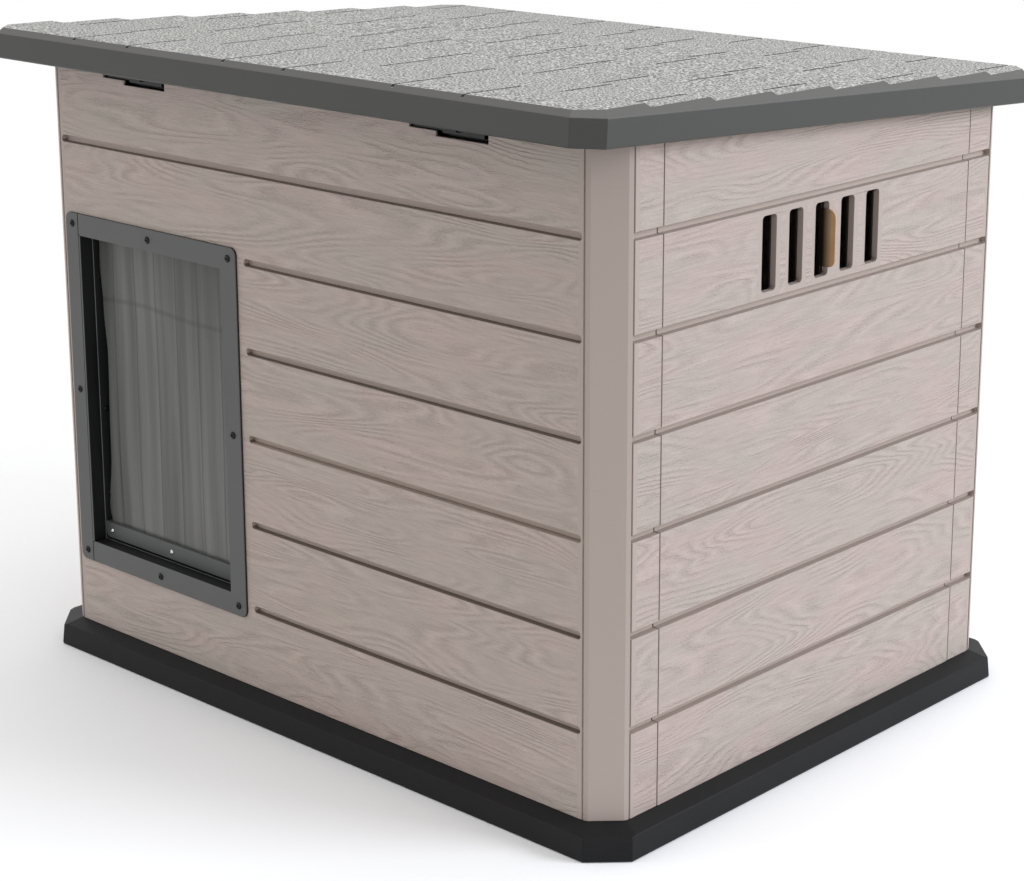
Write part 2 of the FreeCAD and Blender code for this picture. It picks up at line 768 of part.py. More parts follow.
def course_edges():
    """Places of the steps between courses, behind the front wall's face."""
    edges = []
    place = course_first
    while place < wall_depth + roof_out_rear - course_pitch / 4:
        edges.append(place)
        place += course_pitch
    return edges


def course_height(y, edge):
    """Height of a course's surface over its low plane, rising to its step."""
    return rim_height + butt_height * (y - (edge - course_pitch)) / course_pitch


def above_shingles():
    """Everything above the stepped courses."""
    start, end = -roof_out_front - over, wall_depth + roof_out_rear + over
    edges = [*course_edges(), course_edges()[-1] + course_pitch]
    line = [(start, course_height(start, edges[0]))]
    for edge in edges[:-1]:
        line.append((edge, rim_height + butt_height))
        line.append((edge + butt_draft, rim_height + butt_height * butt_draft / course_pitch))
    line.append((end, course_height(end, edges[-1])))
    return prism_x([*line, (end, tall), (start, tall)], -wall_width, wall_width)


def keyways():
    """Grooves that part the tabs of each course, in pairs that change places from course to course."""
    tools = []
    edges = [*course_edges(), course_edges()[-1] + course_pitch]
    reach = half_width + roof_out_side
    count = math.ceil(reach / keyway_period) + 1
    for row, edge in enumerate(edges):
        y0 = max(edge - course_pitch + butt_draft, -roof_out_front - over)
        y1 = min(edge + butt_draft, wall_depth + roof_out_rear + over)
        z0, z1 = course_height(y0, edge), course_height(y1, edge)
        outline = [(y0, z0 - keyway_depth), (y1, z1 - keyway_depth), (y1, z1 + over), (y0, z0 + over)]
        shift = 0 if row % 2 == 0 else keyway_period / 2
        pairs = [k * keyway_period + shift for k in range(-count, count + 1)]
        for x in [pair + half for pair in pairs for half in (-keyway_half_pair, keyway_half_pair)]:
            if abs(x) < reach - roof_corner_leg:
                tools.append(prism_x(outline, x - keyway_width / 2, x + keyway_width / 2))
    return tools


def roof_shell():
    """The lid: stepped shingle courses over a deck, and a deep rim that hangs past the walls."""
    wires = [
        roof_ring(rim_foot_bevel, 0), roof_ring(0, rim_foot_bevel),
        roof_ring(0, rim_height - rim_bevel), roof_ring(rim_bevel + butt_height, rim_height + butt_height),
    ]
    body = Part.makeLoft(wires, True, True)
    pocket = prism_z(roof_outline(rim_thickness, rim_thickness), -1, deck_height)
    body = cut(body, above_shingles(), pocket)
    body = cut(body, Part.Compound(keyways()))
    shell = on_roof(body)
    bores = [shank_rod(p, d, small_shank + screw_bore_gap, roof_screw_length + 1)
             for p, d in [*striker_screw_places(), *hinge_roof_screw_places()]]
    return cut(shell, *bores)


roof_screw_length = 10.0
roof_normal = V(0, math.sin(tilt), math.cos(tilt))


def under_deck(x, y, below):
    """The point below the deck's underside at a place on the roof's own frame."""
    flat = Part.Vertex(V(x, y, deck_height - below))
    return on_roof(flat).Point


# ---- latches -------------------------------------------------------------------------------------
latch_y0 = front_face + latch_skin
striker_y = latch_y0 + latch_front_gap + latch_bar_depth / 2
latch_floor = latch_window_foot - latch_tray_gap
latch_screw_length = 10.0


def latch_span(centre):
    """Left and right ends of the pocket behind a latch window, with room for the bar's travel."""
    half = latch_window / 2 + latch_wall + latch_end_gap
    return centre - half - latch_slit - latch_bar_cover - latch_travel, centre + half


def latch_openings(centre):
    """The stepped window in the wall's face and the pocket behind it."""
    left, right = latch_span(centre)
    pocket = block(left, right, latch_y0, front_inner + over, latch_floor - latch_wall - latch_tray_gap, tall)
    x0, x1 = centre - latch_window / 2, centre + latch_window / 2
    deep = block(x0, x1, front_face - over, latch_y0 + 1, latch_window_foot, tall)
    slit = block(x0 - latch_slit, x1, front_face - over, latch_y0 + 1, latch_slit_foot, tall)
    cover = block(left, right, front_face - over, latch_y0, deck_line(front_face) - latch_head_strip, tall)
    return [pocket, cut(deep.fuse(slit), cover)]


latch_flange = 12.0
latch_flange_drop = 8.0
latch_back = 2.6
striker_window_play = 3.0


def latch_housing(centre):
    """Black tray in the wall's top edge that the bar slides in, flanged on the inner face."""
    left, right = latch_span(centre)
    gap = latch_tray_gap
    foot, top = latch_floor - latch_wall, latch_bar_top + gap + latch_wall
    channel_back = latch_y0 + latch_front_gap + latch_bar_depth + latch_side_gap
    back = channel_back + latch_back
    tray = block(left + gap, right - gap, latch_y0 + gap, back, foot, top)
    flange = block(left - latch_flange, right + latch_flange, front_inner, front_inner + latch_back,
                   foot - latch_flange_drop, top)
    channel = block(left + latch_wall, right - latch_wall, latch_y0 - over, channel_back,
                    latch_floor, latch_bar_top + gap)
    notch = centre + latch_notch_place + latch_key / 2
    half_x, half_y = striker_length / 2 + striker_window_play, striker_foot / 2 + striker_window_play
    window = block(notch - half_x, notch + half_x, striker_y - half_y, striker_y + half_y,
                   latch_bar_top, top + 1)
    bores = [screw_bore(p, V(0, -1, 0), latch_screw_length, small_shank) for p in latch_screw_places(centre)]
    return cut(fuse(tray, flange), channel, window, *bores)


def latch_screw_places(centre):
    left, right = latch_span(centre)
    y = front_inner + latch_back
    z = (latch_floor + latch_bar_top) / 2
    return [V(left - latch_flange / 2, y, z), V(right + latch_flange / 2, y, z)]


def latch_housing_screws():
    return Part.Compound([
        hidden_screw(p, V(0, -1, 0), latch_screw_length, small_head, small_head_height, small_shank)
        for centre in latch_places.values() for p in latch_screw_places(centre)
    ])


def latch_bar(centre):
    """Sliding bar: a finger strip below, and on top a keyhole whose narrow end holds the striker's foot."""
    x0 = centre - latch_window / 2 - latch_slit - latch_bar_cover
    x1 = centre + latch_window / 2 - latch_end_view
    y0 = latch_y0 + latch_front_gap
    y1 = y0 + latch_bar_depth
    web_foot = latch_bar_top - latch_web
    foot = latch_slit_foot + latch_tray_gap
    body = block(x0, x1, y0, y1, foot, latch_bar_top)
    grip_start = centre - latch_window / 2 + latch_grip_inset
    grip = block(grip_start, x1, y0, y0 + latch_grip_depth, latch_grip_foot, foot)
    runner = block(x0, x1, y1 - latch_runner_depth, y1, latch_floor + latch_tray_gap, foot)
    left = centre + latch_notch_place
    slot_end = left + latch_key / 2 + latch_travel + striker_length / 2 + latch_end_gap
    wall = latch_bar_wall
    notch_foot = latch_slit_foot + latch_notch_rise
    hollow = block(left - 0.1, slot_end, y0 + wall, y1 - wall, foot + latch_bar_floor, web_foot)
    ramp = [(left, notch_foot), (left + latch_notch_foot, notch_foot),
            (left + latch_notch_top, latch_bar_top + 0.01), (left, latch_bar_top + 0.01)]
    front_notch = prism_y(ramp, y0 - 1, y0 + wall)
    key = block(left, left + latch_key, y0 - 1, y1 - wall, web_foot - 1, latch_bar_top + 1)
    slot = block(left, slot_end, striker_y - latch_slot / 2, striker_y + latch_slot / 2,
                 web_foot - 1, latch_bar_top + 1)
    return cut(fuse(body, grip, runner), hollow, front_notch, key, slot)


def latch_striker(centre):
    """Hook under the deck: a plate, a thin neck and a wide foot that drops through the bar's notch."""
    x = centre + latch_notch_place + latch_key / 2
    foot_top = latch_bar_top - latch_web - striker_play
    half = striker_length / 2
    foot = block(x - half, x + half, striker_y - striker_foot / 2, striker_y + striker_foot / 2,
                 foot_top - striker_foot_height, foot_top)
    neck_top = deck_line(striker_y) - 0.5
    neck = block(x - half, x + half, striker_y - striker_neck / 2, striker_y + striker_neck / 2,
                 foot_top - 1, neck_top)
    y0 = striker_y - front_face - striker_foot / 2
    plate = on_roof(block(x - 2 * half, x + 2 * half, y0, y0 + striker_plate_depth,
                          deck_height - striker_plate, deck_height))
    bores = [screw_bore(p, d, roof_screw_length, small_shank) for p, d in striker_screw_places()]
    return cut(fuse(plate, neck, foot), *bores)


striker_plate = 2.5
striker_plate_depth = 24.0
striker_screw_half_pitch = 12.0
striker_screw_setback = 15.0


def striker_screw_places():
    """Screws up through the strikers' plates, behind the latch housings' tops."""
    places = []
    for centre in latch_places.values():
        x = centre + latch_notch_place + latch_key / 2
        for dx in (-striker_screw_half_pitch, striker_screw_half_pitch):
            place = under_deck(x + dx, striker_y - front_face + striker_screw_setback, striker_plate)
            places.append((place, roof_normal))
    return places


def striker_screws():
    return Part.Compound([
        hidden_screw(p, d, roof_screw_length, small_head, small_head_height, small_shank)
        for p, d in striker_screw_places()
    ])


# ---- hinges --------------------------------------------------------------------------------------
hinge_y = rear_face + hinge_out
hinge_z = deck_line(hinge_y) - hinge_drop
hinge_screw_length = 12.0


def knuckles(centre, first):
    """Knuckle spans along X: the wall leaf has the two outer ones, the roof leaf the middle one."""
    third = hinge_length / 3
    start = centre - hinge_length / 2
    spans = [(start + i * third, start + (i + 1) * third) for i in range(3)]
    chosen = (spans[0], spans[2]) if first else (spans[1],)
    return [(a + knuckle_gap / 2, b - knuckle_gap / 2) for a, b in chosen]


def knuckle_bore(centre):
    return rod(V(centre - hinge_length, hinge_y, hinge_z), V(1, 0, 0),
               hinge_pin_radius + hinge_pin_clearance, 2 * hinge_length)


def hinge_leaf_wall(centre):
    """Cranked leaf on the rear wall's face, with the two outer knuckles."""
    x0, x1 = centre - hinge_length / 2, centre + hinge_length / 2
    top = hinge_z + 1.0
    plate = block(x0, x1, rear_face, rear_face + hinge_leaf_thickness, top - hinge_leaf_height, top)
    pieces = []
    for a, b in knuckles(centre, True):
        pieces.append(rod(V(a, hinge_y, hinge_z), V(1, 0, 0), knuckle_radius, b - a))
        pieces.append(block(a, b, rear_face + 0.5, hinge_y, hinge_z - knuckle_radius,
                            hinge_z - knuckle_radius + hinge_leaf_thickness))
    bores = [screw_bore(p, V(0, -1, 0), hinge_screw_length) for p in hinge_wall_screw_places()]
    return cut(fuse(plate, *pieces), knuckle_bore(centre), *bores)


def hinge_wall_screw_places():
    y = rear_face + hinge_leaf_thickness
    z = hinge_z - 0.6 * hinge_leaf_height
    dx, dz = hinge_length / 3, hinge_leaf_height / 5
    return [V(centre + kx * dx, y, z + kz * dz) for centre in hinge_places.values()
            for kx in (-1, 1) for kz in (-1, 1)]


def hinge_leaf_roof(centre):
    """Leaf under the deck's overhang, with the middle knuckle."""
    x0, x1 = centre - hinge_length / 2, centre + hinge_length / 2
    y0 = wall_depth + hinge_leaf_thickness
    y1 = wall_depth + roof_out_rear - rim_thickness - deck_seal_gap
    plate = on_roof(block(x0, x1, y0, y1, deck_height - hinge_leaf_thickness, deck_height))
    a, b = knuckles(centre, False)[0]
    barrel = rod(V(a, hinge_y, hinge_z), V(1, 0, 0), knuckle_radius, b - a)
    web = block(a, b, hinge_y - hinge_leaf_thickness / 2, hinge_y + hinge_leaf_thickness / 2,
                hinge_z, deck_line(hinge_y) - 0.5)
    bores = [screw_bore(p, d, roof_screw_length, small_shank) for p, d in hinge_roof_screw_places()]
    return cut(fuse(plate, barrel, web), knuckle_bore(centre), *bores)


def hinge_roof_screw_places():
    y = wall_depth + hinge_out - knuckle_radius
    return [(under_deck(centre + k * 0.36 * hinge_length, y, hinge_leaf_thickness), roof_normal)
            for centre in hinge_places.values() for k in (-1, 1)]


def hinge_roof_screws():
    return Part.Compound([
        hidden_screw(p, d, roof_screw_length, small_head, small_head_height, small_shank)
        for p, d in hinge_roof_screw_places()
    ])


def hinge_wall_screws():
    return Part.Compound([
        hidden_screw(p, V(0, -1, 0), hinge_screw_length) for p in hinge_wall_screw_places()
    ])


def hinge_pins():
    reach = hinge_length / 2
    return Part.Compound([
        rod(V(centre - reach, hinge_y, hinge_z), V(1, 0, 0), hinge_pin_radius, 2 * reach)
        for centre in hinge_places.values()
    ])


# ---- vents ---------------------------------------------------------------------------------------
track_screw_length = 12.0
slider_half = (vent_count - 1) * vent_pitch / 2 + vent_width / 2 + slider_end
slider_face = half_width - vent_skin - slider_gap
track_face = slider_face - slider_thickness - slider_gap


def vent_places():
    middle = (vent_count - 1) / 2
    return [vent_shift + (i - middle) * vent_pitch for i in range(vent_count)]


def slider_levels():
    return vent_foot - slider_overlap, vent_foot + vent_height + slider_overlap


def track_run():
    """Ends of the space that the slider runs in."""
    return vent_shift - slider_half - vent_travel - track_end_gap, vent_shift + slider_half + track_end_gap


def slider_run(side, lip, x_end):
    """The space the slider runs in, its height less a lip, from past the wall's inner face out to x_end."""
    z0, z1 = slider_levels()
    y0, y1 = track_run()
    room = slider_gap - lip
    return block(*sorted((side * (inner_x - over), side * x_end)), y0, y1, z0 - room, z1 + room)


def track_outline(side, gap, past):
    """The track's block from the slider's rear to the wall's inner face and a bit past it, grown by a gap."""
    z0, z1 = slider_levels()
    y0, y1 = track_run()
    wide, tall_by = track_wall + gap, track_wall + slider_gap + gap
    return block(*sorted((side * (inner_x - past), side * track_face)), y0 - wide, y1 + wide,
                 z0 - tall_by, z1 + tall_by)


def vent_track(side):
    """Flat frame let into the panel's inner face, open at the slots; its inner edges hold the slider."""
    view = slider_run(side, track_lip + slider_gap, half_width)
    bores = [screw_bore(p, V(side, 0, 0), track_screw_length, small_shank) for p in track_screw_places(side)]
    return cut(track_outline(side, 0, 0), view, *bores)


def track_screw_places(side):
    z0, z1 = slider_levels()
    middle = (z0 + z1) / 2
    y0, y1 = track_run()
    inset = track_wall / 2
    heights = (middle - track_screw_half_pitch, middle + track_screw_half_pitch)
    return [V(side * inner_x, y, z) for y in (y0 - inset, y1 + inset) for z in heights]


def vent_track_screws():
    return Part.Compound([
        hidden_screw(p, V(side, 0, 0), track_screw_length, small_head, small_head_height, small_shank)
        for side in sides.values() for p in track_screw_places(side)
    ])


def vent_slider(side):
    """Slotted plate behind the slots, with a thin round-cornered tab out through the middle one."""
    z0, z1 = slider_levels()
    x_in = slider_face - slider_thickness
    plate = block(x_in, slider_face, vent_shift - slider_half, vent_shift + slider_half, z0, z1)
    slots = []
    middle = vent_shift + vent_width / 2 - tab_clearance
    half = vent_width / 2 - slider_slot_inset
    for y in vent_places():
        end = middle - tab_thickness if abs(y - vent_shift) < 1 else y + half
        slots.append(block(x_in - over, half_width, y - half, end, vent_foot, vent_foot + vent_height))
    zc = vent_foot + vent_height / 2
    tab = block(x_in, half_width + tab_out, middle - tab_thickness, middle,
                zc - tab_height / 2, zc + tab_height / 2)
    corners = [e for e in tab.Edges
               if abs(e.tangentAt(0).y) > 0.999 and e.BoundBox.XMin > half_width]
    tab = tab.makeFillet(tab_corner, corners)
    slider = fuse(cut(plate, *slots), tab)
    return slider if side > 0 else mirror_x(slider)


# ---- every piece ---------------------------------------------------------------------------------
def all_parts():
    parts = {
        "base_floor": base_floor(),
        "base_screws": base_screws(),
        "front_panel": front_panel(),
        "rear_panel": rear_panel(),
        "panel_screws": panel_screws(),
        "door_frame_stile": door_frame_stile(),
        "door_frame_surround": door_frame_surround(),
        "door_frame_screws": door_frame_screws(),
        "door_inner_frame": door_inner_frame(),
        "door_jamb_screws": door_jamb_screws(),
        "flap_held_edge": flap_held_edge(),
        "flap_clamp_bars": flap_clamp_bars(),
        "flap_clamp_screws": flap_clamp_screws(),
        "flap_sheet": flap_sheet(),
        "flap_bar_front": flap_bar(True),
        "flap_bar_rear": flap_bar(False),
        "flap_rivets": flap_rivets(),
        "roof_shell": roof_shell(),
        "striker_screws": striker_screws(),
        "latch_housing_screws": latch_housing_screws(),
        "hinge_pins": hinge_pins(),
        "hinge_wall_screws": hinge_wall_screws(),
        "hinge_roof_screws": hinge_roof_screws(),
        "vent_track_screws": vent_track_screws(),
    }
    for name, side in sides.items():
        parts[f"side_panel_{name}"] = side_panel(side)
        parts[f"vent_track_{name}"] = vent_track(side)
        parts[f"vent_slider_{name}"] = vent_slider(side)
    for name, centre in latch_places.items():
        parts[f"latch_housing_{name}"] = latch_housing(centre)
        parts[f"latch_bar_{name}"] = latch_bar(centre)
        parts[f"latch_striker_{name}"] = latch_striker(centre)
    for name, centre in hinge_places.items():
        parts[f"hinge_leaf_wall_{name}"] = hinge_leaf_wall(centre)
        parts[f"hinge_leaf_roof_{name}"] = hinge_leaf_roof(centre)
    return parts


os.makedirs("parts", exist_ok=True)
for node, shape in all_parts().items():
    shape.exportStep(f"parts/{node}.step")
    print(node, "solids", len(shape.Solids), "valid", shape.isValid(), "cm3", round(shape.Volume / 1000, 1))
print("roof hinge axis", round(hinge_y, 3), round(hinge_z, 3))
print("flap bend line", round(door_centre, 3), round(flap_plane, 3), round(flap_pivot, 3))
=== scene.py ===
import math
import bmesh
import bpy
from mathutils import Matrix, Vector


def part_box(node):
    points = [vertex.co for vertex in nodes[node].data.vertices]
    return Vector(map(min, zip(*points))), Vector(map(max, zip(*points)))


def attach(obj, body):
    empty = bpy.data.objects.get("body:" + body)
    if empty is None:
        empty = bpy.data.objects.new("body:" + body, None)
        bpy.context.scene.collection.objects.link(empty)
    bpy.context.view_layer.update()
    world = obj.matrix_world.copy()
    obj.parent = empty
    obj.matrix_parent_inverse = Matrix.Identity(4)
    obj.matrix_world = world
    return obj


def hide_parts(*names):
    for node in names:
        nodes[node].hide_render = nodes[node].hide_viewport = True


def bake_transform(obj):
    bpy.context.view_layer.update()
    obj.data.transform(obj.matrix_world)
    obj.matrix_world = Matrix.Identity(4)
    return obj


# Plastic dog house with plank walls, a shingled lid and a vinyl door flap. Metres, Z up, front wall to -Y.
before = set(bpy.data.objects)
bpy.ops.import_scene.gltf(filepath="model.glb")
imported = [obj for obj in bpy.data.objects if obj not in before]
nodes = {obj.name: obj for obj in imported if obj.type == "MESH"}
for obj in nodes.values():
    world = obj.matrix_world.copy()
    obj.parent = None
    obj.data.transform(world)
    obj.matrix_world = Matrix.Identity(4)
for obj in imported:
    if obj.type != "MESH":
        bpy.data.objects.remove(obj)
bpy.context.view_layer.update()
print("frame loaded,", len(nodes), "nodes")

mm = 0.001


def srgb(code):
    channels = [int(code[i:i + 2], 16) / 255 for i in (1, 3, 5)]
    return [*((c / 12.92 if c <= 0.04045 else ((c + 0.055) / 1.055) ** 2.4) for c in channels), 1.0]


# adds one node: settings go to its properties or sockets, links come from nodes (first output) or sockets;
# numbers are sockets: MapRange goes from 1..2 to 3..4, and Mix takes values at 2 and 3 and colours at 6 and 7
def addNode(tree, kind, settings=None, links=None):
    node = tree.nodes.new("ShaderNode" + kind)
    for key, value in (settings or {}).items():
        if isinstance(key, str) and key in node.bl_rna.properties:
            setattr(node, key, value)
        else:
            node.inputs[key].default_value = value
    for key, source in (links or {}).items():
        tree.links.new(source.outputs[0] if isinstance(source, bpy.types.Node) else source, node.inputs[key])
    return node


def newMaterial(name, **shaderValues):
    material = bpy.data.materials.new(name)
    material.use_nodes = True
    shader = material.node_tree.nodes["Principled BSDF"]
    for socket, value in shaderValues.items():
        shader.inputs[socket.replace("_", " ")].default_value = value
    return material, material.node_tree, shader


edges = {"weld": 0.02, "sharpFrom": 28}  # mm within which triangles join, degrees from which an edge is rounded


# gives a CAD node its material, and rounds its edges by so many mm
def finishNode(name, material, edge, segments=2):
    obj = nodes[name]
    obj.data.materials.clear()
    obj.data.materials.append(material)
    if edge:
        weld = obj.modifiers.new("weld", "WELD")
        weld.merge_threshold = edges["weld"] * mm
        bevel = obj.modifiers.new("soft edges", "BEVEL")
        bevel.width = edge * mm
        bevel.segments = segments
        bevel.limit_method = "ANGLE"
        bevel.angle_limit = math.radians(edges["sharpFrom"])
        bevel.use_clamp_overlap = False
        bevel.harden_normals = True


# Blow-moulded HDPE with an embossed oak grain: a satin skin whose fine relief breaks the light along each
# plank. Lengths are in mm, and noises in waves a metre: along the plank, from slice to slice, up the wall.
wall = {
    "warm": "#b3a19a", "cool": "#ada299", "plain": "#a99b93",
    "ring": "#7d7067", "ringShare": 0.17,        # each pattern's colour and how far it takes over
    "fibre": "#8f8179", "fibreShare": 0.42,
    # crests between the rings: grain, and a painted highlight of the embossing
    "paintedCrestHighlight": "#c9bab2", "crestShare": 0.26,
    # painted shade: the dark line on the front grooves' lower ledge
    "paintedLedgeShade": "#564b43", "ledgeShare": 0.75,
    # painted light: the grooves' back made paler against the shade there
    # painted shade: a thin dark line under the side grooves' upper edge, and in the post reveals
    "corner": "#63574f", "recess": "#b9aaa0",
    "plankPitch": 101.6, "grooveFoot": 126.3, "grooveHeight": 8.2, "grooveDepth": 9.0, "grooveSlack": 0.6,
    "cornerFrom": 1.9, "cornerFull": 1.0,        # below the groove's upper edge
    "outX": 449.0, "outY": 343.5, "skin": 0.4,   # the outer faces, and how near to them still counts
    "faceEnd": 407.0, "sideEnd": 302.0, "endFade": 1.5,  # the grain stops short of the corner posts
    "revealDepth": 1.9, "revealReach": 1.1,
    "swell": (1.8, 1.0, 12.0), "rings": 34.0,    # long low noise, and how many level lines it carries
    "ringWidth": 0.22, "crestFrom": 0.3, "ringJag": 0.75, "jag": (210.0, 1.0, 620.0),
    "patch": (11.0, 1.0, 38.0), "drift": (6.0, 1.0, 24.0), "grit": 900.0,
    "contrast": (0.36, 0.64), "faintest": 0.25,  # the noise's usual range, and how faint the rings get
    "fibreLength": 36.0, "fibreWidth": 1.7, "fibreDeep": 0.32, "fibreClear": 0.60,
    "wallStep": 3.0, "sideStep": 7.0, "plankStep": 3.7,  # metres of noise from one wall or plank to the next
    "relief": 0.6, "reliefShare": 0.8, "fibreRelief": 1.3, "reliefMiddle": 0.45, "gritRelief": 0.12,
    "roughness": (0.42, 0.58),                   # of the deepest and the highest fibres
    "ventPlace": -8.0, "ventPitch": 45.0, "ventCount": 5, "ventMiddle": 587.6, "ventReach": 46.0,
    "ventMargin": 5.5, "ventFade": 2.0,
    "flatFrom": 0.96, "ledgeFrom": 0.6,          # how squarely a face looks along an axis to count
}


def wallMaterial():
    material, tree, shader = newMaterial("grained HDPE", Roughness=0.5, IOR=1.5)
    place = addNode(tree, "TexCoord")
    xyz = addNode(tree, "SeparateXYZ", None, {0: place.outputs["Object"]})
    x, y, z = (xyz.outputs[axis] for axis in "XYZ")
    facing = addNode(tree, "SeparateXYZ", None, {0: place.outputs["Normal"]})
    outX = addNode(tree, "Math", {"operation": "ABSOLUTE"}, {0: x})
    outY = addNode(tree, "Math", {"operation": "ABSOLUTE"}, {0: y})
    sideways = addNode(tree, "Math", {"operation": "ABSOLUTE"}, {0: facing.outputs["X"]})
    isSide = addNode(tree, "Math", {"operation": "GREATER_THAN", 1: wall["flatFrom"]}, {0: sideways})
    forward = addNode(tree, "Math", {"operation": "ABSOLUTE"}, {0: facing.outputs["Y"]})
    isFace = addNode(tree, "Math", {"operation": "GREATER_THAN", 1: wall["flatFrom"]}, {0: forward})
    isLedge = addNode(tree, "Math", {
        "operation": "GREATER_THAN", 1: wall["ledgeFrom"],
    }, {0: facing.outputs["Z"]})
    # along the plank is x on the front and rear and y on the sides, and each wall has a pattern of its own
    rear = addNode(tree, "Math", {"operation": "GREATER_THAN", 1: 0.0}, {0: y})
    alongFace = addNode(tree, "Math", {"operation": "MULTIPLY_ADD", 1: wall["wallStep"]}, {0: rear, 2: x})
    right = addNode(tree, "Math", {"operation": "GREATER_THAN", 1: 0.0}, {0: x})
    alongSide = addNode(tree, "Math", {"operation": "MULTIPLY_ADD", 1: wall["wallStep"]}, {0: right, 2: y})
    alongSide = addNode(tree, "Math", {"operation": "ADD", 1: wall["sideStep"]}, {0: alongSide})
    along = addNode(tree, "Mix", {"data_type": "FLOAT"}, {0: isSide, 2: alongFace, 3: alongSide})
    # each plank takes another slice of the noise
    plank = addNode(tree, "Math", {"operation": "SUBTRACT", 1: wall["grooveFoot"] * mm}, {0: z})
    plank = addNode(tree, "Math", {"operation": "DIVIDE", 1: wall["plankPitch"] * mm}, {0: plank})
    rise = addNode(tree, "Math", {"operation": "FRACT"}, {0: plank})
    plank = addNode(tree, "Math", {"operation": "FLOOR"}, {0: plank})
    plankSlice = addNode(tree, "Math", {"operation": "MULTIPLY", 1: wall["plankStep"]}, {0: plank})
    grainPlace = addNode(tree, "CombineXYZ", None, {0: along, 1: plankSlice, 2: z})
    # growth rings are level lines of a long low noise, with ragged edges, and fade in and out
    swellPlace = addNode(tree, "VectorMath", {"operation": "MULTIPLY", 1: wall["swell"]}, {0: grainPlace})
    swell = addNode(tree, "TexNoise", {
        "Scale": 1.0, "Detail": 2.0, "Roughness": 0.45, "Distortion": 0.25,
    }, {"Vector": swellPlace})
    jagPlace = addNode(tree, "VectorMath", {"operation": "MULTIPLY", 1: wall["jag"]}, {0: grainPlace})
    jag = addNode(tree, "TexNoise", {"Scale": 1.0, "Detail": 2.0}, {"Vector": jagPlace})
    phase = addNode(tree, "Math", {"operation": "MULTIPLY", 1: wall["rings"]}, {0: swell})
    phase = addNode(tree, "Math", {"operation": "MULTIPLY_ADD", 1: wall["ringJag"]}, {0: jag, 2: phase})
    level = addNode(tree, "Math", {"operation": "PINGPONG", 1: 0.5}, {0: phase})
    ring = addNode(tree, "MapRange", {
        "interpolation_type": "SMOOTHSTEP", 1: 0.0, 2: wall["ringWidth"], 3: 1.0, 4: 0.0,
    }, {0: level})
    paintedCrestHighlight = addNode(tree, "MapRange", {
        "interpolation_type": "SMOOTHSTEP", 1: wall["crestFrom"], 2: 0.5,
    }, {0: level})
    patchPlace = addNode(tree, "VectorMath", {"operation": "MULTIPLY", 1: wall["patch"]}, {0: grainPlace})
    patch = addNode(tree, "TexNoise", {"Scale": 1.0, "Detail": 2.0}, {"Vector": patchPlace})
    lowest, highest = wall["contrast"]
    fade = addNode(tree, "MapRange", {
        "interpolation_type": "SMOOTHSTEP", 1: lowest, 2: highest, 3: wall["faintest"], 4: 1.0,
    }, {0: patch})
    ring = addNode(tree, "Math", {"operation": "MULTIPLY"}, {0: ring, 1: fade})
    paintedCrestHighlight = addNode(tree, "Math", {"operation": "MULTIPLY"}, {0: paintedCrestHighlight, 1: fade})
    # open fibres between the rings
    fibrePlace = addNode(tree, "VectorMath", {
        "operation": "MULTIPLY", 1: (1 / (wall["fibreLength"] * mm), 1.0, 1 / (wall["fibreWidth"] * mm)),
    }, {0: grainPlace})
    fibre = addNode(tree, "TexNoise", {
        "Scale": 1.0, "Detail": 4.0, "Roughness": 0.68, "Distortion": 0.5,
    }, {"Vector": fibrePlace})
    # only the outer faces carry the grain
    onSide = addNode(tree, "Math", {
        "operation": "GREATER_THAN", 1: (wall["outX"] - wall["skin"]) * mm,
    }, {0: outX})
    onSide = addNode(tree, "Math", {"operation": "MULTIPLY"}, {0: onSide, 1: isSide})
    onFace = addNode(tree, "Math", {
        "operation": "GREATER_THAN", 1: (wall["outY"] - wall["skin"]) * mm,
    }, {0: outY})
    onFace = addNode(tree, "Math", {"operation": "MULTIPLY"}, {0: onFace, 1: isFace})
    clearX = addNode(tree, "MapRange", {
        1: wall["faceEnd"] * mm, 2: (wall["faceEnd"] + wall["endFade"]) * mm, 3: 1.0, 4: 0.0,
    }, {0: outX})
    clearY = addNode(tree, "MapRange", {
        1: wall["sideEnd"] * mm, 2: (wall["sideEnd"] + wall["endFade"]) * mm, 3: 1.0, 4: 0.0,
    }, {0: outY})
    faceGrain = addNode(tree, "Math", {"operation": "MULTIPLY"}, {0: onFace, 1: clearX})
    sideGrain = addNode(tree, "Math", {"operation": "MULTIPLY"}, {0: onSide, 1: clearY})
